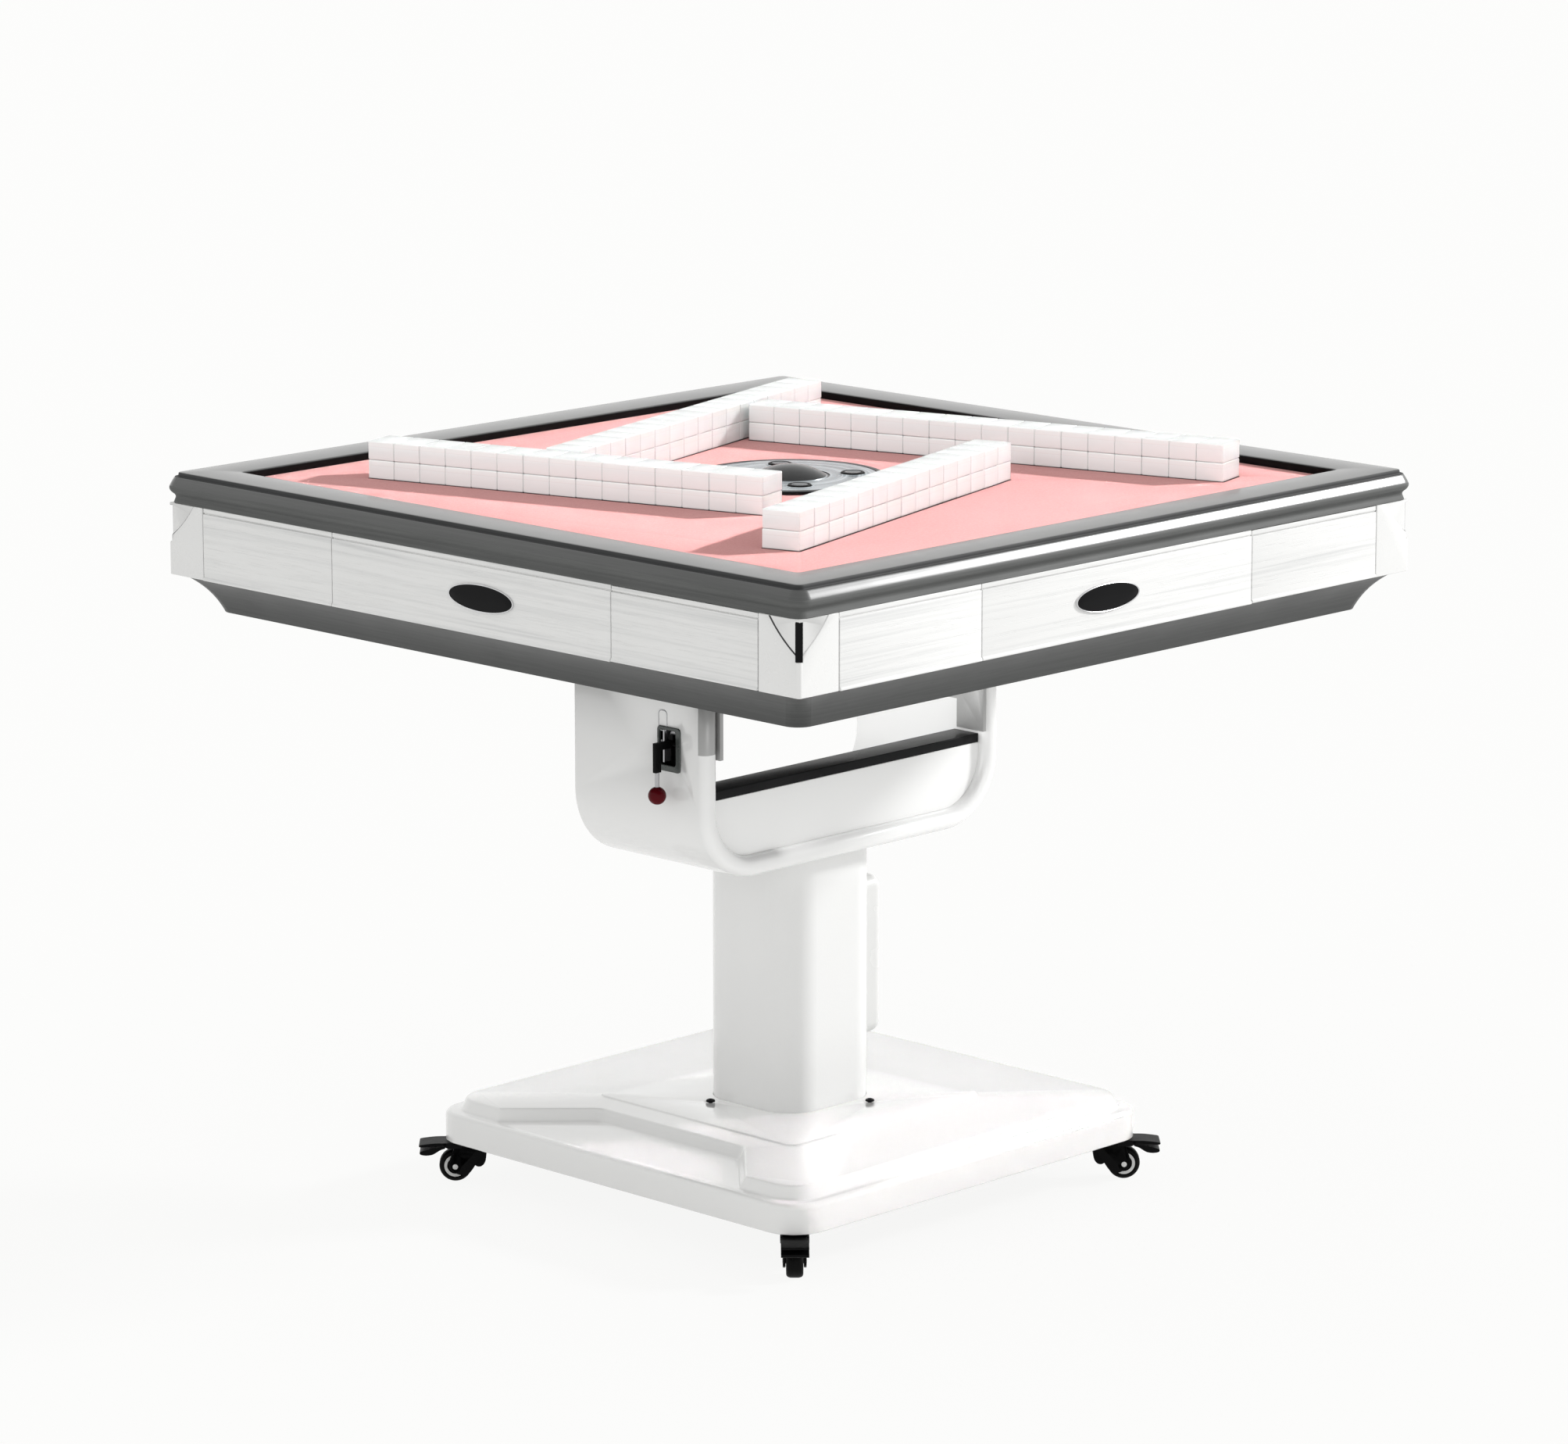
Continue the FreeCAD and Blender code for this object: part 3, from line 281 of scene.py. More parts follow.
def ashFinish(look):
    finish = Finish("whiteAsh", {"IOR": 1.48})
    band = finish.spread(finish.noise(1.0, 3.0, look["band"], 0.9), *look["bandSpan"])
    streak = finish.spread(finish.noise(1.0, 5.0, look["streak"], 0.5), *look["streakSpan"])
    pore = finish.spread(finish.noise(1.0, 2.0, look["pore"]), *look["poreSpan"])
    vein = streak * (0.35 + band * 0.55) + band * 0.14
    finish.set("Base Color", finish.mix(vein | pore * 0.22, look["pale"], look["vein"]))
    finish.set("Roughness", 0.36 + pore * 0.18 - streak * 0.05)
    finish.bump(1.0 - pore - streak * 0.4, look["poreDepth"])
    return finish.material


# Short-pile felt

feltLook = {"lit": (0.62, 0.288, 0.280), "deep": (0.54, 0.226, 0.218), "fibre": 1500.0, "tuft": 320.0,
            "cloud": 7.0, "pileSpan": (0.34, 0.62), "pileDepth": 0.0005, "gloss": (0.85, 0.97),
            "fixed": {"Sheen Weight": 0.14, "Sheen Roughness": 0.45, "Sheen Tint": (1.0, 0.93, 0.92, 1.0),
                      "Specular IOR Level": 0.15}}


def feltFinish(look):
    finish = Finish("pinkFelt", look["fixed"])
    fibre = finish.noise(look["fibre"], 4.0)
    tuft = finish.noise(look["tuft"], 3.0)
    cloud = finish.noise(look["cloud"], 3.0)
    tone = finish.spread(fibre * 0.5 + tuft * 0.3 + cloud * 0.2, *look["pileSpan"])
    finish.set("Base Color", finish.mix(tone, look["deep"], look["lit"]))
    finish.gloss(look["gloss"], fibre)
    finish.bump(fibre * 0.6 + tuft * 0.4, look["pileDepth"], 0.6)
    return finish.material


# Polished tiles: the body is white, the back a shade warmer above a fine joint line. Both colours carry a
# painted cool cast that cancels the pink light bounced from the felt

tileLook = {"body": (0.83, 0.885, 0.885), "back": (0.84, 0.88, 0.876), "joint": (0.76, 0.76, 0.75),
            "backShare": 0.70, "jointWidth": 0.0004, "gloss": (0.14, 0.28), "smear": 70.0,
            "skin": 500.0, "skinDepth": 0.00002}


def tileFinish(look, foot, pitch):
    finish = Finish("tileWhite", {"Coat Weight": 0.35, "Coat Roughness": 0.05})
    height = (finish.axis("Z") - foot) % pitch
    line = look["backShare"] * pitch
    onBack = height > line
    onJoint = onBack * (1.0 - (height > line + look["jointWidth"]))
    tone = finish.mix(onBack, look["body"], look["back"])
    finish.set("Base Color", finish.mix(onJoint * 0.5, tone, look["joint"]))
    finish.gloss(look["gloss"], finish.noise(look["smear"], 4.0))
    finish.bump(finish.noise(look["skin"], 2.0), look["skinDepth"])
    return finish.material


# Smoked clear dome

smokeLook = {"colour": (0.030, 0.032, 0.035), "shade": (0.050, 0.053, 0.058), "cloud": 40.0,
             "gloss": (0.02, 0.07), "smear": 60.0, "detail": 3.0,
             "fixed": {"Transmission Weight": 0.9, "IOR": 1.46, "Specular IOR Level": 0.2}}

brushedSteel = brushedFinish(steelLook)
discGrey = discFinish(discLook)
rimSatin = satinFinish("rimSatin", {**satinLook, "coat": 0.8})
# the outer step of the border is painted darker than the rest of the satin: painted shade for its hollow
paintedStepShade = satinFinish("paintedStepShade", {**dullSatin, "colour": (0.018, 0.019, 0.020),
                                      "shade": (0.026, 0.027, 0.028)})
# the lower half of the bead and the cove are painted lighter than the rest of the satin: painted light that
# lifts their shade
paintedNeckLight = satinFinish("paintedNeckLight", {**dullSatin, "colour": (0.080, 0.083, 0.081),
                                      "shade": (0.100, 0.103, 0.101)})
panSatin = satinFinish("panSatin", satinLook)
facetWhite = facetFinish(facetLook)
whiteAsh = ashFinish(ashLook)
pinkFelt = feltFinish(feltLook)
smokedClear = cloudedFinish("smokedClear", smokeLook).material
print("finishes made:", len(bpy.data.materials))


# Outlines, rings and lathed shapes

leastRadius = 0.00005


def roundedOutline(corners, radii, inset, steps):
    # corners run counter-clockwise; the inset moves every side towards the inside
    count = len(corners)
    sides = []
    for i in range(count):
        start, end = Vector(corners[i]), Vector(corners[(i + 1) % count])
        way = (end - start).normalized()
        sides.append((start + Vector((-way.y, way.x)) * inset, way))
    outline = []
    for i in range(count):
        (before, wayIn), (after, wayOut) = sides[i - 1], sides[i]
        cross = wayIn.x * wayOut.y - wayIn.y * wayOut.x
        gap = after - before
        tip = before + wayIn * ((gap.x * wayOut.y - gap.y * wayOut.x) / cross)
        turn = math.atan2(cross, wayIn.dot(wayOut))
        sign = 1 if turn > 0 else -1
        radius = max(radii[i] - sign * inset, leastRadius)
        begin = tip - wayIn * (radius * math.tan(abs(turn) / 2))
        normal = Vector((-wayIn.y, wayIn.x)) * sign
        centre = begin + normal * radius
        arm = begin - centre
        for step in range(steps + 1):
            angle = turn * step / steps
            outline.append((centre.x + arm.x * math.cos(angle) - arm.y * math.sin(angle),
                            centre.y + arm.x * math.sin(angle) + arm.y * math.cos(angle)))
    return outline


def squareOutline(half, radius, inset, steps):
    corners = [(half, -half), (half, half), (-half, half), (-half, -half)]
    return roundedOutline(corners, [radius] * 4, inset, steps)


def circleOutline(radius, steps=96, x=0.0, y=0.0):
    angles = [2 * math.pi * step / steps for step in range(steps)]
    return [(x + radius * math.cos(a), y + radius * math.sin(a)) for a in angles]


def arcPoints(x, z, radius, start, end, steps):
    angles = [math.radians(start + (end - start) * step / steps) for step in range(steps + 1)]
    return [(x + radius * math.cos(a), z + radius * math.sin(a)) for a in angles]


def ease(share):
    return share * share * (3 - 2 * share)


def flowing(points, steps=4):
    # a smooth run through the given points
    ends = [points[0], *points, points[-1]]
    run = []
    for group in zip(ends, ends[1:], ends[2:], ends[3:]):
        for step in range(steps):
            t = step / steps
            run.append(tuple(0.5 * (2 * b + (c - a) * t + (2 * a - 5 * b + 4 * c - d) * t ** 2
                                    + (3 * b - a - 3 * c + d) * t ** 3) for a, b, c, d in zip(*group)))
    return run + [points[-1]]


def addRing(bm, outline, height):
    return [bm.verts.new((x, y, height)) for x, y in outline]


def bridge(bm, rings, closed=False):
    pairs = list(zip(rings, rings[1:]))
    if closed:
        pairs.append((rings[-1], rings[0]))
    for low, high in pairs:
        count = len(low)
        for i in range(count):
            j = (i + 1) % count
            bm.faces.new((low[i], low[j], high[j], high[i]))


def fill(bm, *rings):
    # a flat sheet between the first ring and the holes inside it
    edges = []
    for ring in rings:
        for i, vert in enumerate(ring):
            pair = (ring[i - 1], vert)
            edges.append(bm.edges.get(pair) or bm.edges.new(pair))
    bmesh.ops.triangle_fill(bm, use_beauty=True, edges=edges)


def circles(bm, profile, steps, x=0.0, y=0.0):
    rings = [addRing(bm, circleOutline(radius, steps, x, y), height) for radius, height in profile]
    bridge(bm, rings)
    return rings


def lathe(bm, profile, steps, place=None):
    # profile points are (radius, height); a radius of nothing closes the end
    rings = []
    place = place or Matrix.Identity(4)
    for radius, height in profile:
        if radius < 1e-6:
            rings.append([bm.verts.new(place @ Vector((0, 0, height)))])
        else:
            spots = [Vector((x, y, height)) for x, y in circleOutline(radius, steps)]
            rings.append([bm.verts.new(place @ spot) for spot in spots])
    for low, high in zip(rings, rings[1:]):
        for i in range(steps):
            j = (i + 1) % steps
            face = [low[i % len(low)], low[j % len(low)], high[j % len(high)], high[i % len(high)]]
            bm.faces.new(list(dict.fromkeys(face)))
    return rings


def makePiece(bm, name, body, finishes, replaced=(), sharp=32.0):
    bmesh.ops.recalc_face_normals(bm, faces=bm.faces)
    mesh = bpy.data.meshes.new(name)
    bm.to_mesh(mesh)
    bm.free()
    for finish in finishes:
        mesh.materials.append(finish)
    mesh.shade_smooth()
    for face in mesh.polygons:
        face.use_smooth = max(abs(way) for way in face.normal) < 0.99999   # level faces shade flat
    mesh.set_sharp_from_angle(angle=math.radians(sharp))
    piece = bpy.data.objects.new(name, mesh)
    scene.collection.objects.link(piece)
    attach(piece, body)
    if replaced:
        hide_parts(*replaced)
    return piece


weld = {"distance": 0.000008, "flatness": 0.3}


def easeEdges(bm, width, segments, limit=34.0):
    hard = [edge for edge in bm.edges
            if len(edge.link_faces) == 2 and edge.calc_face_angle() > math.radians(limit)]
    bmesh.ops.bevel(bm, geom=hard, offset=width, segments=segments, profile=0.6, affect="EDGES",
                    clamp_overlap=True)


def partMesh(node):
    bm = bmesh.new()
    bm.from_mesh(nodes[node].data)
    bmesh.ops.remove_doubles(bm, verts=bm.verts, dist=weld["distance"])
    return bm


def softened(node, width, segments=2):
    # a copy of a part with its hard edges eased
    bm = partMesh(node)
    bmesh.ops.dissolve_limit(bm, angle_limit=math.radians(weld["flatness"]), verts=bm.verts, edges=bm.edges)
    easeEdges(bm, width, segments)
    return bm


def easedPiece(node, name, body, finish, width, segments=2):
    makePiece(softened(node, width, segments), name, body, [finish], [node])


def cutAt(bm, spot, way, clear=False):
    # cuts a mesh along a plane, and takes away what lies beyond it if asked
    whole = bm.verts[:] + bm.edges[:] + bm.faces[:]
    return bmesh.ops.bisect_plane(bm, geom=whole, plane_co=spot, plane_no=way, clear_outer=clear)


def slab(bm, outline, low, high):
    # an outline in X and Z, made solid from low to high along Y
    near, far = ([bm.verts.new((x, y, z)) for x, z in outline] for y in (low, high))
    bridge(bm, [near, far])
    bm.faces.new(near)
    bm.faces.new(far)


def merged(bm, added, place, finish=0):
    # adds one mesh to another, moved to its place, in one of the piece's finishes
    bmesh.ops.transform(added, matrix=place, verts=added.verts)
    for face in added.faces:
        face.material_index = finish
    mesh = bpy.data.meshes.new("added")
    added.to_mesh(mesh)
    added.free()
    bm.from_mesh(mesh)
    bpy.data.meshes.remove(mesh)


def dress(node, finish):
    mesh = nodes[node].data
    mesh.materials.clear()
    mesh.materials.append(finish)


def onSide(angle):
    return Matrix.Rotation(math.radians(angle), 4, "Z")


# Border: crowned top, a step painted dark as shade, bead, and a cove down to the boards, painted lighter
# below the bead to lift its shade

rim = {"border": 0.061, "ridge": 0.036, "innerDrop": 0.0012, "shoulder": 0.0112, "outerDrop": 0.0012,
       "corner": 0.018, "innerCorner": 0.006, "topEase": 0.0022, "ledge": 0.021, "cornerSteps": 14,
       "crownSteps": 8, "footIn": 0.0005, "liner": 0.0004, "stepLow": 0.0059, "beadLow": 0.0150,
       "side": [(0.0112, 0.0012), (0.0105, 0.0018), (0.0101, 0.0034), (0.0099, 0.0050), (0.0092, 0.0058),
                (0.0078, 0.0056), (0.0062, 0.0057), (0.0042, 0.0085), (0.0024, 0.0114), (0.0009, 0.0142),
                (0.0001, 0.0164), (0.0, 0.0178), (0.0007, 0.0200), (0.0024, 0.0221), (0.0048, 0.0240),
                (0.0066, 0.0261), (0.0067, 0.0284), (0.0057, 0.0308), (0.0047, 0.0335)]}


def makeRim():
    low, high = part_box("rim_frame")
    half, top, foot = high.x, high.z, low.z
    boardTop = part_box("play_board")[1].z
    play, shoulder, soft = half - rim["border"], half - rim["shoulder"], rim["topEase"]
    ridge, inside = half - rim["ridge"], play + soft
    shares = [step / rim["crownSteps"] for step in range(rim["crownSteps"])]

    def crown(edge, drop, steps):
        return [(ridge + (edge - ridge) * share, top - drop * share ** 2) for share in steps]

    profile = [(play + rim["ledge"], foot), (play + rim["ledge"], boardTop), (play, boardTop)]
    profile += arcPoints(inside, top - rim["innerDrop"] - soft, soft, 180, 90, 5)
    profile += crown(inside, rim["innerDrop"], shares[::-1]) + crown(shoulder, rim["outerDrop"], shares[1:])
    profile += flowing([(half - inset, top - drop) for inset, drop in rim["side"]])
    profile += [(half - rim["side"][-1][0] - rim["footIn"], foot)]
    bm = bmesh.new()
    rings = []
    spread = (rim["corner"] - rim["shoulder"] - rim["innerCorner"]) / (shoulder - play)
    for reach, height in profile:
        radius = rim["corner"] - (half - reach)
        if reach < shoulder:
            radius = rim["innerCorner"] + (reach - play) * spread
        rings.append(addRing(bm, squareOutline(reach, radius, 0.0, rim["cornerSteps"]), height))
    bridge(bm, rings, closed=True)
    finishes = [rimSatin, blackPlastic, paintedStepShade, paintedNeckLight]
    piece = makePiece(bm, "rimBorder", "table", finishes, ["rim_frame"], 40.0)
    # faces of the outer step take painted shade (finish 2), and faces below the bead's middle take painted
    # light (finish 3)
    for face in piece.data.polygons:
        out = max(abs(face.center.x), abs(face.center.y)) - play
        drop = top - face.center.z
        onStep = out > rim["ledge"] and rim["outerDrop"] < drop < rim["stepLow"]
        face.material_index = 1 if out < rim["liner"] else 2 if onStep else 3 if drop > rim["beadLow"] else 0


# Felt over the play board, cut out for the lifts and the centre control

felt = {"innerCorner": 0.006, "edge": 0.0007, "edgeShare": 0.3, "slotCorner": 0.0012, "wallTurn": 16.0,
        "slotGap": 0.0007, "hole": 0.099}


def wallSpan(side):
    # the low and high corners of a tile wall, squared up with the table
    back = onSide(-felt["wallTurn"] - 90 * side)
    spots = [back @ vert.co for vert in nodes[f"tile_wall_{side + 1}"].data.vertices]
    return [Vector([pick(spot[axis] for spot in spots) for axis in range(3)]) for pick in (min, max)]


def slotCorners(side):
    low, high = wallSpan(side)
    gap = Vector((felt["slotGap"], felt["slotGap"], 0))
    low, high = low - gap, high + gap
    turned = onSide(felt["wallTurn"] + 90 * side)
    corners = [(low.x, low.y), (high.x, low.y), (high.x, high.y), (low.x, high.y)]
    return [(turned @ Vector((x, y, 0))).to_2d() for x, y in corners]


def makeFelt():
    low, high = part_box("felt_cloth")
    slots = [slotCorners(side) for side in range(4)]

    def loops(inset):
        outlines = [squareOutline(high.x, felt["innerCorner"], inset, 6)]
        outlines += [roundedOutline(corners, [felt["slotCorner"]] * 4, -inset, 4) for corners in slots]
        return outlines + [circleOutline(felt["hole"] + inset)]

    bm = bmesh.new()
    edge, turn = felt["edge"], felt["edgeShare"] * felt["edge"]
    levels = [(0.0, low.z), (0.0, high.z - edge), (turn, high.z - turn), (edge, high.z)]
    stacks = [[addRing(bm, outline, height) for outline in loops(inset)] for inset, height in levels]
    for column in zip(*stacks):
        bridge(bm, column)
    fill(bm, *stacks[0])
    fill(bm, *stacks[-1])
    piece = makePiece(bm, "feltCloth", "table", [pinkFelt], ["felt_cloth"])


# Tile walls: rounded tiles two high, a hair out of line as a machine leaves them

tile = {"width": 0.0322, "length": 0.0436, "thick": 0.0204, "gap": 0.0002, "round": 0.0014, "segments": 4,
        "layers": 2, "drift": 0.00035, "seed": 7}


def makeTileShape():
    bm = bmesh.new()
    bmesh.ops.create_cube(bm, size=1.0)
    bmesh.ops.scale(bm, vec=(tile["width"], tile["length"], tile["thick"]), verts=bm.verts)
    bmesh.ops.bevel(bm, geom=list(bm.edges), offset=tile["round"], segments=tile["segments"], profile=0.5,
                    affect="EDGES")
    shape = bpy.data.meshes.new("tileShape")
    bm.to_mesh(shape)
    bm.free()
    return shape


def makeTiles():
    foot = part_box("tile_wall_1")[0].z
    pitch, step = tile["thick"] + tile["gap"], tile["width"] + tile["gap"]
    finish = tileFinish(tileLook, foot, pitch)
    shape = makeTileShape()
    draw = random.Random(tile["seed"])
    for side in range(4):
        low, high = wallSpan(side)
        left, across = low.x + tile["width"] / 2, (low.y + high.y) / 2
        bm = bmesh.new()
        for stack in range(round((high.x - low.x) / step)):
            for layer in range(tile["layers"]):
                before = len(bm.verts)
                bm.from_mesh(shape)
                bm.verts.ensure_lookup_table()
                stray = draw.uniform(-tile["drift"], tile["drift"])
                x = left + stack * step
                z = foot + layer * pitch + tile["thick"] / 2
                bmesh.ops.translate(bm, vec=(x, across + stray, z), verts=bm.verts[before:])
        bmesh.ops.transform(bm, matrix=onSide(felt["wallTurn"] + 90 * side), verts=bm.verts)
        number = side + 1
        makePiece(bm, f"tileWall{number}", f"tile_lift_{number}", [finish],
                  [f"tile_wall_{number}"], 50.0)
    bpy.data.meshes.remove(shape)


# Foot screws: low round heads with a hexagon socket

screw = {"head": 0.005, "height": 0.0025, "socket": 0.0024, "socketDepth": 0.0016, "shank": 0.0024,
         "steps": 24, "dome": ((1.0, 0.0), (1.0, 0.45), (0.93, 0.75), (0.78, 0.93), (0.62, 1.0))}


def screwPlaces():
    low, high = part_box("stand_screws")
    return [(low.x + screw["head"], low.y + screw["head"]), (high.x - screw["head"], high.y - screw["head"])]


# Base cover: wall, ledge, raised middle with its toe recess, pad and screw dishes

base = {"corner": 0.040, "edgeRound": 0.0065, "wall": 0.003, "footEase": 0.001, "ledge": 0.011,
        "slope": 0.0095, "rise": 0.014, "padHalf": 0.152, "padCorner": 0.014, "padRise": 0.002,
        "padSlope": 0.003, "recessDepth": 0.090, "recessHalf": 0.107, "jogRound": 0.013,
        "columnHalf": 0.0715, "columnCorner": 0.040, "gap": 0.0005, "dish": 0.0082, "dishDepth": 0.0014,
        "dishSteps": ((1.0, 0.0), (0.88, 0.25), (0.7, 0.8), (0.35, 1.0)), "dishRound": 28}


def makeBaseCover():
    low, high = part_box("base_cover")
    half, foot, padTop = high.x, low.z, high.z
    plateauTop = padTop - base["padRise"]
    ledgeTop = plateauTop - base["rise"]
    ceiling = ledgeTop - base["wall"]
    edge, soft = base["edgeRound"], base["footEase"]

    def wallRing(inset, height):
        return addRing(bm, squareOutline(half, base["corner"], inset, 12), height)

    def slope(outlineAt, steps, start, rise):
        shares = [step / steps for step in range(steps + 1)]
        rings = [addRing(bm, outlineAt(share), start + rise * ease(share)) for share in shares]
        bridge(bm, rings)
        return rings

    def plateauAt(share):
        return roundedOutline(plateau, radii, base["slope"] * share, 8)

    def padAt(share):
        return squareOutline(base["padHalf"], base["padCorner"], base["padSlope"] * share, 6)

    fore, toe = half - base["ledge"], base["recessHalf"]
    inner = -half + base["recessDepth"]
    flare = toe + fore + inner
    plateau = [(fore, -fore), (fore, fore), (-fore, fore), (-fore, -fore),
               (-flare, -fore), (-toe, inner), (toe, inner), (flare, -fore)]
    radii = [base["corner"]] * 4 + [base["jogRound"]] * 4

    bm = bmesh.new()
    outside = [wallRing(base["wall"], foot), wallRing(soft, foot), wallRing(0.0, foot + soft)]
    outside += [wallRing(half - reach, height)
                for reach, height in arcPoints(half - edge, ledgeTop - edge, edge, 0, 90, 7)]
    bridge(bm, outside)
    rise = slope(plateauAt, 10, ledgeTop, base["rise"])
    fill(bm, outside[-1], rise[0])
    pad = slope(padAt, 4, plateauTop, base["padRise"])
    fill(bm, rise[-1], pad[0])
    hole = squareOutline(base["columnHalf"] + base["gap"], base["columnCorner"] + base["gap"], 0.0, 12)
    holeTop, holeLow = addRing(bm, hole, padTop), addRing(bm, hole, ceiling)
    bridge(bm, [holeTop, holeLow])
    dishes = []
    hollow = [(base["dish"] * share, padTop - base["dishDepth"] * drop) for share, drop in base["dishSteps"]]
    for x, y in screwPlaces():
        rings = circles(bm, hollow, base["dishRound"], x, y)
        bm.faces.new(rings[-1])
        dishes.append(rings[0])
    fill(bm, pad[-1], holeTop, *dishes)
    inside = [outside[0], wallRing(base["wall"], ceiling)]
    bridge(bm, inside)
    fill(bm, inside[-1], holeLow)
    makePiece(bm, "baseCover", "stand", [whiteGloss], ["base_cover"], 38.0)


def hexagonOutline(reach, steps, x, y):
    outline = []
    for step in range(steps):
        angle = 2 * math.pi * step / steps
        fromFlat = (angle + math.pi / 6) % (math.pi / 3) - math.pi / 6
        outline.append((x + reach / math.cos(fromFlat) * math.cos(angle),
                        y + reach / math.cos(fromFlat) * math.sin(angle)))
    return outline


def makeFootScrews():
    low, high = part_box("stand_screws")
    seat = high.z - screw["height"]
    bm = bmesh.new()
    for x, y in screwPlaces():
        steps, head, socket = screw["steps"], screw["head"], screw["socket"]
        rings = [addRing(bm, circleOutline(screw["shank"], steps, x, y), height) for height in (low.z, seat)]
        rings += [addRing(bm, circleOutline(head * share, steps, x, y), seat + screw["height"] * rise)
                  for share, rise in screw["dome"]]
        rings += [addRing(bm, hexagonOutline(socket, steps, x, y), high.z - drop)
                  for drop in (0.0, screw["socketDepth"])]
        bridge(bm, rings)
        bm.faces.new(rings[0])
        bm.faces.new(rings[-1])
    makePiece(bm, "footScrews", "stand", [blackPlastic], ["stand_screws"])


# Castors: lathed wheels under hooded forks, with two-lipped pedals

castor = {"radius": 0.018, "halfWidth": 0.009, "trail": 0.018, "steps": 56, "forkEase": 0.0009,
          "wheel": [(0.0031, 0.0012), (0.0050, 0.0012), (0.0054, 0.0030), (0.0082, 0.0033), (0.0092, 0.0014),
                    (0.0124, 0.0010), (0.0128, 0.0018), (0.0131, 0.0008), (0.0138, 0.0002), (0.0146, 0.0),
                    (0.0163, 0.0007), (0.0174, 0.0022), (0.0180, 0.0046)],
          "tyreFrom": 0.0125, "ringFrom": 0.0090, "cheek": (0.0098, 0.0125), "endSteps": 24,
          "axleEnd": [(0.0030, -0.0005), (0.0030, 0.0002), (0.0024, 0.0006), (0.0, 0.0007)],
          "hood": [(-0.0150, 0.0402), (-0.0120, 0.0320), (-0.0060, 0.0230), (0.0005, 0.0130),
                   (0.0060, 0.0085), (0.0120, 0.0085), (0.0190, 0.0120), (0.0235, 0.0180),
                   (0.0240, 0.0260), (0.0215, 0.0330), (0.0185, 0.0402)],
          "bearing": [(-0.0160, 0.0415), (-0.0162, 0.0300), (-0.0150, 0.0230), (-0.0115, 0.0185),
                      (-0.0075, 0.0175), (-0.0040, 0.0190), (-0.0018, 0.0230), (-0.0012, 0.0300),
                      (-0.0012, 0.0415)],
          "bearingHalf": 0.0100, "pedalEase": 0.0007, "pedalCut": 0.0275, "jawHalf": 0.0148,
          "jaw": [(0.0225, 0.0406), (0.0310, 0.0404), (0.0310, 0.0456), (0.0225, 0.0456)],
          "upperLip": [(0.0280, 0.0428), (0.0380, 0.0422), (0.0480, 0.0414), (0.0555, 0.0410),
                       (0.0577, 0.0418), (0.0572, 0.0434), (0.0500, 0.0446), (0.0400, 0.0456),
                       (0.0280, 0.0458)],
          "lowerLip": [(0.0290, 0.0395), (0.0340, 0.0379), (0.0385, 0.0351), (0.0430, 0.0326),
                       (0.0500, 0.0316), (0.0560, 0.0326), (0.0572, 0.0346), (0.0560, 0.0362),
                       (0.0480, 0.0384), (0.0380, 0.0402), (0.0290, 0.0412)]}


def castorPlace(number):
    # X points away from the table's middle, Y runs along the axle, from the swivel at floor level
    low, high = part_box(f"castor_wheel_{number}")
    middle = (low + high) / 2
    out = Vector((middle.x, middle.y, 0)).normalized()
    along = Vector((-out.y, out.x, 0))
    spot = Vector((middle.x, middle.y, 0)) - out * castor["trail"]
    return Matrix.Translation(spot) @ Matrix((out, along, (0, 0, 1))).transposed().to_4x4()


def axlePlace(turn):
    middle = Matrix.Translation((castor["trail"], 0, castor["radius"]))
    return middle @ Matrix.Rotation(turn, 4, "X")


def makeWheel(number, place):
    halfProfile = [(reach, castor["halfWidth"] - drop) for reach, drop in castor["wheel"]]
    profile = halfProfile + [(reach, -height) for reach, height in reversed(halfProfile)]
    axle = place @ axlePlace(math.pi / 2)
    bm = bmesh.new()
    rings = lathe(bm, profile, castor["steps"], axle)
    bridge(bm, [rings[-1], rings[0]])
    piece = makePiece(bm, f"castorWheel{number}", f"castor_wheel_{number}",
                      [tyreBlack, hubLight, blackPlastic], [f"castor_wheel_{number}"])
    back = axle.inverted()
    for face in piece.data.polygons:
        spot = back @ face.center
        reach = math.hypot(spot.x, spot.y)
        face.material_index = 0 if reach > castor["tyreFrom"] else 1 if reach > castor["ringFrom"] else 2


def makeFork(number, place):
    bm = softened(f"castor_fork_{number}", castor["forkEase"], 3)
    added = bmesh.new()
    inner, outer = castor["cheek"]
    for low, high in ((inner, outer), (-outer, -inner)):
        slab(added, flowing(castor["hood"], 3), low, high)
    slab(added, flowing(castor["bearing"], 3), -castor["bearingHalf"], castor["bearingHalf"])
    easeEdges(added, castor["forkEase"], 2)
    merged(bm, added, place)
    ends = bmesh.new()
    profile = [(reach, outer + rise) for reach, rise in castor["axleEnd"]]
    for way in (-1, 1):
        lathe(ends, profile, castor["endSteps"], axlePlace(-way * math.pi / 2))
    merged(bm, ends, place, 1)
    makePiece(bm, f"castorFork{number}", f"castor_{number}", [blackPlastic, hubLight],
              [f"castor_fork_{number}"])


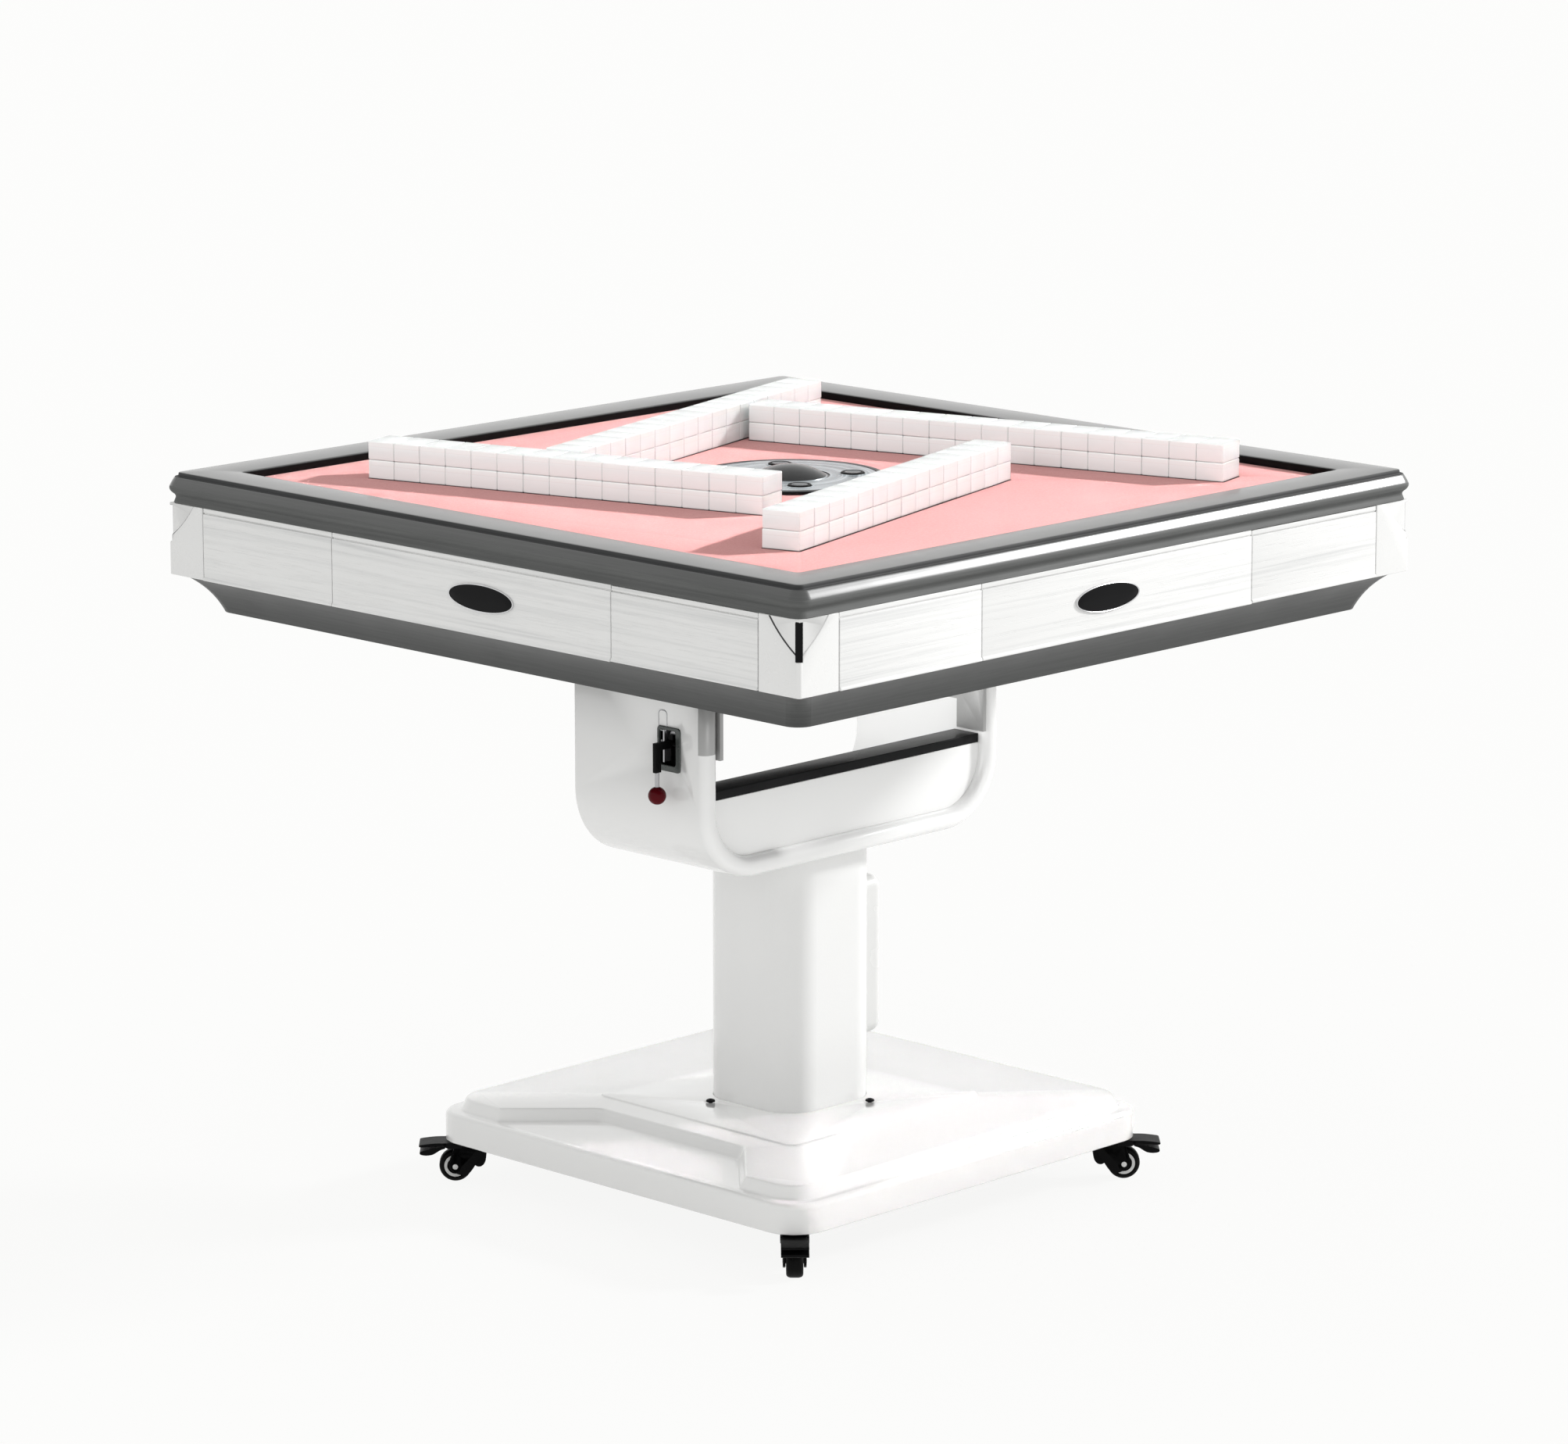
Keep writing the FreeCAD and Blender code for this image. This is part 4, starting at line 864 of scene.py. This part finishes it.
def makePedal(number, place):
    bm = softened(f"castor_pedal_{number}", castor["pedalEase"], 2)
    spot, way = place @ Vector((castor["pedalCut"], 0, 0)), place.to_3x3() @ Vector((1, 0, 0))
    cut = cutAt(bm, spot, way, True)
    opened = [edge for edge in cut["geom_cut"] if isinstance(edge, bmesh.types.BMEdge)]
    bmesh.ops.holes_fill(bm, edges=opened)
    added = bmesh.new()
    for outline in (castor["jaw"], flowing(castor["upperLip"], 3), flowing(castor["lowerLip"], 3)):
        slab(added, outline, -castor["jawHalf"], castor["jawHalf"])
    easeEdges(added, castor["pedalEase"], 2)
    merged(bm, added, place)
    makePiece(bm, f"castorPedal{number}", f"castor_pedal_{number}", [blackPlastic],
              [f"castor_pedal_{number}"])


def makeCastors():
    for number in range(1, 5):
        place = castorPlace(number)
        makeWheel(number, place)
        makeFork(number, place)
        makePedal(number, place)


# Table sides: ash boards and drawers, moulded corner caps, strips and bare badges

boardEase = 0.0007
cap = {"ease": 0.0008, "level": 0.98, "facetIn": (0.0003, 0.004), "edgeIn": (0.0001, 0.0015),
       "edgeAlong": (0.002, 0.044), "edgeDown": (0.0012, 0.0405)}
badge = {"long": 0.049, "high": 0.015, "thick": 0.0025, "rim": 0.0016, "shift": 0.020, "steps": 96,
         "edge": [(0.0, 0.0), (0.0, 0.55), (0.2, 0.8), (0.5, 0.9), (0.8, 0.8), (1.0, 0.62), (1.4, 0.60)],
         "rimBands": 5, "face": (0.12, 0.28, 0.46, 0.66, 0.86), "crown": 0.36}


def ovalRing(bm, place, shrink, height):
    ring = []
    for step in range(badge["steps"]):
        angle = 2 * math.pi * step / badge["steps"]
        across, up = (badge["long"] - shrink) * math.cos(angle), (badge["high"] - shrink) * math.sin(angle)
        ring.append(bm.verts.new(place @ Vector((across, up, height))))
    return ring


def makeBadges():
    low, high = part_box("badges")
    rimEdge, thick, steps = badge["rim"], badge["thick"], badge["steps"]
    inset, level = badge["edge"][-1]
    wide = badge["high"] - inset * rimEdge
    levels = [(share * rimEdge, height * thick) for share, height in badge["edge"]]
    for share in badge["face"]:
        height = level + badge["crown"] * math.sin(share * math.pi / 2)
        levels.append((inset * rimEdge + wide * share, height * thick))
    bm = bmesh.new()
    for side in range(4):
        shift = badge["shift"] * (1 - side % 2 * 2)
        seat = Matrix.Translation((shift, thick - high.x, (low.z + high.z) / 2))
        place = onSide(90 * side) @ seat @ Matrix.Rotation(math.pi / 2, 4, "X")
        rings = [ovalRing(bm, place, shrink, height) for shrink, height in levels]
        bridge(bm, rings)
        bm.faces.new(rings[0])
        bm.faces.new(rings[-1])
    piece = makePiece(bm, "badgeOvals", "table", [blackGloss, silverRim], ["badges"])
    perBadge = (len(levels) - 1) * steps + 2
    for face in piece.data.polygons:
        face.material_index = 1 if face.index % perBadge < badge["rimBands"] * steps else 0


def makeCaps():
    bm = softened("corner_caps", cap["ease"], 1)
    finishes = [capWhite, facetWhite, darkSteel]
    piece = makePiece(bm, "cornerCaps", "table", finishes, ["corner_caps"])
    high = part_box("corner_caps")[1]

    def within(key, value):
        return cap[key][0] < value < cap[key][1]

    for face in piece.data.polygons:
        near, far = sorted((high.x - abs(face.center.x), high.x - abs(face.center.y)))
        down = high.z - face.center.z
        level = max(abs(face.normal.x), abs(face.normal.y)) > cap["level"]
        if level and within("facetIn", near):
            face.material_index = 1
        # the sloped walls round the facets take painted shade lines: dark steel on the ±Y sides, facet white
        # on the ±X sides
        elif not level and within("edgeIn", near) and within("edgeAlong", far) and within("edgeDown", down):
            face.material_index = 2 if abs(face.center.y) > abs(face.center.x) else 1


def makeSides():
    easedPiece("fascia_panels", "sidePanels", "table", whiteAsh, boardEase)
    for number in range(1, 5):
        node = f"drawer_{number}"
        easedPiece(node, f"drawerFront{number}", node, whiteAsh, boardEase)
    makeCaps()
    dress("corner_posts", blackGloss)
    makeBadges()


# Latch: black cup with a raised frame and rib, a wire loop above, cranked lever and ball

latch = {"leverEase": 0.0008, "cupEase": 0.0005, "ball": 0.00975, "ballSlack": 0.0002, "rod": 0.0030,
         "rodLong": 0.028, "slim": 0.42, "slimFrom": -0.01, "frame": (0.0, 0.0, 0.0172, 0.0243, 0.0045),
         "opening": (-0.0016, 0.0014, 0.0122, 0.0190, 0.0030), "frameHigh": 0.0016, "frameSoft": 0.0006,
         "frameSeat": (-0.0001, -0.0010), "loop": (-0.0095, 0.0300, 0.0068, 0.0115, 0.0050), "wire": 0.0012,
         "rib": [(-0.0086, -0.0150), (-0.0066, -0.0150), (-0.0066, 0.0200), (-0.0086, 0.0200)],
         "ribSpan": (-0.0009, 0.0090)}


def frameRing(bm, shape, inset, height):
    x, z, wide, high, corner = shape
    corners = [(x + wide, z - high), (x + wide, z + high), (x - wide, z + high), (x - wide, z - high)]
    return [bm.verts.new((a, -height, b)) for a, b in roundedOutline(corners, [corner] * 4, inset, 5)]


def raisedFrame(bm, outer, inner, high, soft):
    # a band standing on the XZ plane, towards -Y
    outerSeat, innerSeat = latch["frameSeat"]
    steps = [(outer, 0.0, outerSeat), (outer, 0.0, high - soft), (outer, soft, high), (inner, -soft, high),
             (inner, 0.0, high - soft), (inner, 0.0, innerSeat)]
    bridge(bm, [frameRing(bm, shape, inset, height) for shape, inset, height in steps], closed=True)


def makeLatch():
    low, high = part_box("latch_pocket")
    place = Matrix.Translation(((low.x + high.x) / 2, low.y, (low.z + high.z) / 2))
    bm = softened("latch_pocket", latch["cupEase"])
    added = bmesh.new()
    raisedFrame(added, latch["frame"], latch["opening"], latch["frameHigh"], latch["frameSoft"])
    merged(bm, added, place, 1)
    added = bmesh.new()
    slab(added, latch["rib"], *latch["ribSpan"])
    x, z, wide, tall, corner = latch["loop"]
    wire = latch["wire"]
    raisedFrame(added, latch["loop"], (x, z, wide - wire, tall - wire, corner - wire), wire / 2, wire / 4)
    merged(bm, added, place, 2)
    finishes = [blackPlastic, latchGrey, brushedSteel]
    makePiece(bm, "latchCup", "stand", finishes, ["latch_pocket"])
    bm = softened("latch_lever", latch["leverEase"], 3)
    for vert in bm.verts:
        reach = vert.co.x - place.translation.x
        if abs(reach) > latch["rod"] and vert.co.z > low.z + latch["slimFrom"]:
            vert.co.x -= reach * latch["slim"]
    finishes = [blackPlastic, redBall, brushedSteel]
    piece = makePiece(bm, "latchLever", "latch_lever", finishes, ["latch_lever"])
    low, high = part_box("latch_lever")
    ball = Vector(((low.x + high.x) / 2, low.y + latch["ball"], low.z + latch["ball"]))
    for face in piece.data.polygons:
        away = face.center - ball
        onRod = away.to_2d().length < latch["rod"] and away.z < latch["rodLong"]
        onBall = away.length < latch["ball"] + latch["ballSlack"]
        face.material_index = 1 if onBall else 2 if onRod else 0


# Centre control: ringed dish, four buttons, dice under a smoked dome

centre = {"radius": 0.105, "flange": 0.0037, "plug": 0.098, "rimRound": 0.0018, "lip": 0.0004,
          "groove": 0.0008, "rimGroove": [(0.0068, 0), (0.0073, 1), (0.0085, 1), (0.0090, 0)],
          "rimBand": 0.0088, "seat": 0.0436, "seatGroove": [(0.0, 0), (0.0004, 1), (0.0024, 1), (0.0029, 0)],
          "seatBand": (0.0026, 0.0001), "plateGap": 0.0003, "well": 0.0133, "wellDepth": 0.0140,
          "bezel": [(0.0026, 0.0), (0.0022, 0.7), (0.0016, 1.0), (0.0008, 1.0), (0.0002, 0.6), (0.0, 0.0)],
          "bezelRise": 0.0007, "bezelSteps": 48, "steps": 144}
button = {"ease": 0.0012, "steps": 56, "inner": 0.70, "deep": 0.002,
          "face": [(0.80, 0.0), (0.77, 0.0005), (0.72, 0.0006), (0.69, 0.0002), (0.4, 0.0006), (0.0, 0.0008)]}
dice = {"size": 0.012, "round": 0.0019, "spread": 0.011, "turn": 25.0, "stem": 0.004, "plate": 0.003,
        "underEase": 0.0004, "topEase": 0.0006, "plateSteps": 96, "pip": 0.00105, "pipSpread": 0.0031,
        "pipRise": 0.00004, "pipSink": 0.0002, "pipSteps": 14, "pipSide": 1.4e-7, "pipTop": 6e-7}
dieTurns = {1: ("X", 0), 6: ("X", 180), 2: ("X", 90), 5: ("X", -90), 3: ("Y", 90), 4: ("Y", -90)}
pipPlaces = {1: [(0, 0)], 2: [(-1, -1), (1, 1)], 3: [(-1, -1), (0, 0), (1, 1)],
             4: [(-1, -1), (-1, 1), (1, -1), (1, 1)], 5: [(-1, -1), (-1, 1), (1, -1), (1, 1), (0, 0)],
             6: [(-1, -1), (-1, 0), (-1, 1), (1, -1), (1, 0), (1, 1)]}


def makeDish():
    low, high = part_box("control_dish")
    top, reach, seat, bore = high.z, centre["radius"], centre["seat"], centre["well"]
    soft, lip, plug = centre["rimRound"], centre["lip"], centre["plug"]
    under, floor = top - centre["flange"], top - centre["wellDepth"]

    def grooved(start, groove):
        return [(start - inset, top - centre["groove"] * deep) for inset, deep in groove]

    bm = bmesh.new()
    profile = [(plug, low.z), (plug, under), (reach - lip, under), (reach, under + lip)]
    profile += arcPoints(reach - soft, top - soft, soft, 0, 90, 6) + grooved(reach, centre["rimGroove"])
    outer = circles(bm, profile, centre["steps"])
    bm.faces.new(outer[0])
    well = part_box("dice_plate")[1].x + centre["plateGap"]
    profile = grooved(seat, centre["seatGroove"]) + [(well + lip, top), (well, top - lip), (well, floor)]
    inner = circles(bm, profile, centre["steps"])
    bm.faces.new(inner[-1])
    bezels = []
    profile = [(bore + out, top + share * centre["bezelRise"]) for out, share in centre["bezel"]]
    for number in range(1, 5):
        first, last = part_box(f"button_{number}")
        x, y = (first.x + last.x) / 2, (first.y + last.y) / 2
        rings = circles(bm, profile + [(bore, floor)], centre["bezelSteps"], x, y)
        bm.faces.new(rings[-1])
        bezels.append(rings[0])
    fill(bm, outer[-1], inner[0], *bezels)
    piece = makePiece(bm, "controlDish", "centre_lift", [discGrey, blackGloss], ["control_dish"])
    nearest, farthest = (seat - inset for inset in centre["seatBand"])
    for face in piece.data.polygons:
        away = math.hypot(face.center.x, face.center.y)
        ring = away > reach - centre["rimBand"] or nearest < away < farthest
        face.material_index = 1 if ring else 0


def makeButtons():
    for number in range(1, 5):
        node = f"button_{number}"
        low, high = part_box(node)
        radius, top, soft = (high.x - low.x) / 2, high.z, button["ease"]
        middle = Matrix.Translation(((low.x + high.x) / 2, (low.y + high.y) / 2, 0))
        profile = [(0, low.z), (radius, low.z)] + arcPoints(radius - soft, top - soft, soft, 0, 90, 5)
        profile += [(share * radius, top - drop) for share, drop in button["face"]]
        bm = bmesh.new()
        lathe(bm, profile, button["steps"], middle)
        finishes = [blackPlastic, buttonGrey]
        piece = makePiece(bm, f"playButton{number}", node, finishes, [node])
        for face in piece.data.polygons:
            away = (middle.inverted() @ face.center).to_2d().length
            onFace = away < button["inner"] * radius and face.center.z > top - button["deep"]
            face.material_index = 1 if onFace else 0


def makeDice():
    low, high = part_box("dice_plate")
    reach, floor = high.x, high.z - dice["size"]
    stem, thick, under, over = dice["stem"], dice["plate"], dice["underEase"], dice["topEase"]
    pip, pipSpread, half = dice["pip"], dice["pipSpread"], dice["size"] / 2
    dot = [(pip, -dice["pipSink"]), (pip, dice["pipRise"]), (0, dice["pipRise"])]
    bm = bmesh.new()
    lathe(bm, [(0, low.z), (stem, low.z), (stem, floor - thick), (reach - under, floor - thick),
               (reach, floor - thick + under), (reach, floor - over), (reach - over, floor), (0, floor)],
          dice["plateSteps"])
    plateFaces = len(bm.faces)
    for side in (-1, 1):
        before = len(bm.verts)
        bmesh.ops.create_cube(bm, size=dice["size"])
        bm.verts.ensure_lookup_table()
        edges = list({edge for vert in bm.verts[before:] for edge in vert.link_edges})
        bmesh.ops.bevel(bm, geom=edges, offset=dice["round"], segments=4, profile=0.5, affect="EDGES")
        for value, (axis, angle) in dieTurns.items():
            turn = Matrix.Rotation(math.radians(angle), 4, axis)
            for across, along in pipPlaces[value]:
                spot = Matrix.Translation((across * pipSpread, along * pipSpread, half))
                lathe(bm, dot, dice["pipSteps"], turn @ spot)
        bm.verts.ensure_lookup_table()
        place = Matrix.Translation((side * dice["spread"], side * dice["size"] / 4, floor + half))
        bmesh.ops.transform(bm, matrix=place @ onSide(dice["turn"] * side), verts=bm.verts[before:])
    piece = makePiece(bm, "dicePair", "dice_plate", [blackGloss, diceWhite], ["dice_plate"])
    for face in piece.data.polygons:
        onPip = (len(face.vertices) == 3 or face.area < dice["pipSide"]) and face.area < dice["pipTop"]
        face.material_index = 0 if face.index < plateFaces or onPip else 1


def makeCentre():
    makeDish()
    makeButtons()
    makeDice()
    dress("dice_dome", smokedClear)
    dress("centre_lift_tube", blackPlastic)


# What stays as it was made, in its own finish

plainNodes = {
    "column": whitePaint, "power_box": boxWhite, "base_plate": darkSteel, "castor_plates": brushedSteel,
    "pivot_pins": brushedSteel, "lock_bolt": brushedSteel, "bottom_pan": panSatin,
    "chassis_plate": brushedSteel, "play_board": boardBrown, "drawer_runners": brushedSteel,
    "lift_guides": blackPlastic, "shuffle_motor": darkSteel, "turntable": discGrey, "drive_roller": tyreBlack}


# Yoke: painted U with a grey strip down the front edge of the latch arm

yoke = {"stripLow": 0.530, "stripIn": 0.0100, "arm": 0.0235, "webEase": 0.0006, "shelfEase": 0.0012,
        "bracketEase": 0.0008}


def makeYoke():
    low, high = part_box("yoke_shell")
    stripLow, stripFrom = yoke["stripLow"], high.x - yoke["stripIn"]
    bm = partMesh("yoke_shell")
    cutAt(bm, (0, 0, stripLow), (0, 0, 1))
    cutAt(bm, (stripFrom, 0, 0), (1, 0, 0))
    piece = makePiece(bm, "yokeShell", "stand", [whitePaint, bracketGrey], ["yoke_shell"])
    for face in piece.data.polygons:
        x, y, z = face.center
        face.material_index = 1 if z > stripLow and x > stripFrom and y < low.y + yoke["arm"] else 0


def makeStand():
    for node, finish in plainNodes.items():
        dress(node, finish)
    for number in range(1, 5):
        dress(f"tile_lift_{number}", blackPlastic)
    makeYoke()
    easedPiece("yoke_web_panels", "yokeWebs", "stand", whitePaint, yoke["webEase"])
    easedPiece("yoke_shelf", "yokeShelf", "stand", shelfBlack, yoke["shelfEase"], 3)
    easedPiece("pivot_brackets", "pivotBrackets", "table", bracketGrey, yoke["bracketEase"])


makeRim()
makeFelt()
makeTiles()
print("play field made")
makeBaseCover()
makeFootScrews()
makeCastors()
makeStand()
print("stand made")
makeSides()
makeLatch()
makeCentre()
print("sides, latch and centre made")


# Floor, light and camera

stage = {"floorHalf": 60.0, "floorColour": (0.86, 0.86, 0.855), "floorGlow": 0.93, "fill": 0.85,
         "white": (0.975, 0.975, 0.967)}
suns = {"keySun": {"energy": 2.35, "azimuth": 60.0, "elevation": 27.0, "angle": 8.0},
        "clothSun": {"energy": 5.2, "azimuth": 60.0, "elevation": 27.0, "angle": 1.6, "only": ["feltCloth"]},
        "tileSun": {"energy": 0.9, "azimuth": -80.0, "elevation": 25.0, "angle": 40.0,
                    "only": ["tileWall1", "tileWall2", "tileWall3", "tileWall4"]},
        "baseSun": {"energy": 0.85, "azimuth": 100.0, "elevation": 50.0, "angle": 20.0, "shadow": False,
                    "only": ["baseCover"]},
        "webSun": {"energy": 0.5, "azimuth": -10.0, "elevation": 10.0, "angle": 40.0, "shadow": False,
                   "only": ["yokeWebs", "yokeShell"]}}
underLamp = {"energy": 1.0, "place": (0.0, -0.12, 0.56), "size": 0.25, "only": ["yokeShell", "pivotBrackets"]}
view = {"azimuth": 44.2088, "elevation": 12.0812, "distance": 6.8064, "target": (0.0, 0.0, 0.51747),
        "lens": 143.09, "sensor": 36.0, "shift": -0.0037, "far": 200.0}


def outward(azimuth, elevation):
    # the way out from the middle, the azimuth counted from X about Z
    azimuth, elevation = math.radians(azimuth), math.radians(elevation)
    across = math.cos(elevation)
    return Vector((math.cos(azimuth) * across, math.sin(azimuth) * across, math.sin(elevation)))


def makeFloor():
    half = stage["floorHalf"]
    bm = bmesh.new()
    bm.faces.new(addRing(bm, ((-half, -half), (half, -half), (half, half), (-half, half)), 0.0))
    mesh = bpy.data.meshes.new("floor")
    bm.to_mesh(mesh)
    bm.free()
    floor = bpy.data.objects.new("floor", mesh)
    scene.collection.objects.link(floor)
    finish = Finish("paleFloor", {"Roughness": 0.9, "Specular IOR Level": 0.0})
    finish.shader.inputs["Base Color"].default_value = opaque(stage["floorColour"])
    glow = finish.node("ShaderNodeEmission", links={"Color": opaque(stage["white"]), "Strength": 1.0})
    ends = {0: finish.seenRay() * stage["floorGlow"], 1: Wire(finish, finish.shader.outputs[0]), 2: glow}
    shown = finish.node("ShaderNodeMixShader", links=ends)
    finish.feed(finish.tree.nodes["Material Output"].inputs["Surface"], shown)
    mesh.materials.append(finish.material)


def makeLight():
    world = bpy.data.worlds.new("studio")
    world.use_nodes = True
    scene.world = world
    sky = Tree(world.node_tree)
    back = sky.tree.nodes["Background"]
    levels = {"Value": sky.seenRay(), "To Min": stage["fill"], "To Max": 1.0}
    sky.feed(back.inputs["Color"], opaque(stage["white"]))
    sky.feed(back.inputs["Strength"], sky.node("ShaderNodeMapRange", links=levels))
    for name, sun in suns.items():
        light = makeLamp(name, "SUN", outward(sun["azimuth"], sun["elevation"]), sun)
        light.angle = math.radians(sun["angle"])
        light.use_shadow = sun.get("shadow", True)
    light = makeLamp("underLamp", "AREA", Vector((0, -1, 0)), underLamp)
    light.size = underLamp["size"]


def makeLamp(name, kind, towards, look):
    # the lamp shines from the given side, on some pieces only if they are named
    light = bpy.data.lights.new(name, kind)
    light.energy = look["energy"]
    lamp = bpy.data.objects.new(name, light)
    lamp.location = look.get("place", (0, 0, 0))
    lamp.rotation_mode = "QUATERNION"
    lamp.rotation_quaternion = towards.to_track_quat("Z", "Y")
    scene.collection.objects.link(lamp)
    if "only" in look:
        lit = bpy.data.collections.new(name + "Lit")
        for piece in look["only"]:
            lit.objects.link(bpy.data.objects[piece])
        lamp.light_linking.receiver_collection = lit
    return light


def makeCamera():
    eye = bpy.data.cameras.new("camera")
    eye.lens, eye.sensor_width, eye.shift_x = view["lens"], view["sensor"], view["shift"]
    eye.clip_end = view["far"]
    camera = bpy.data.objects.new("camera", eye)
    back = outward(view["azimuth"] - 90, view["elevation"])
    camera.location = Vector(view["target"]) + back * view["distance"]
    camera.rotation_mode = "QUATERNION"
    camera.rotation_quaternion = (-back).to_track_quat("-Z", "Y")
    scene.collection.objects.link(camera)
    scene.camera = camera


makeFloor()
makeLight()
makeCamera()
scene.view_settings.view_transform = "Standard"
print("stage, light and camera made")
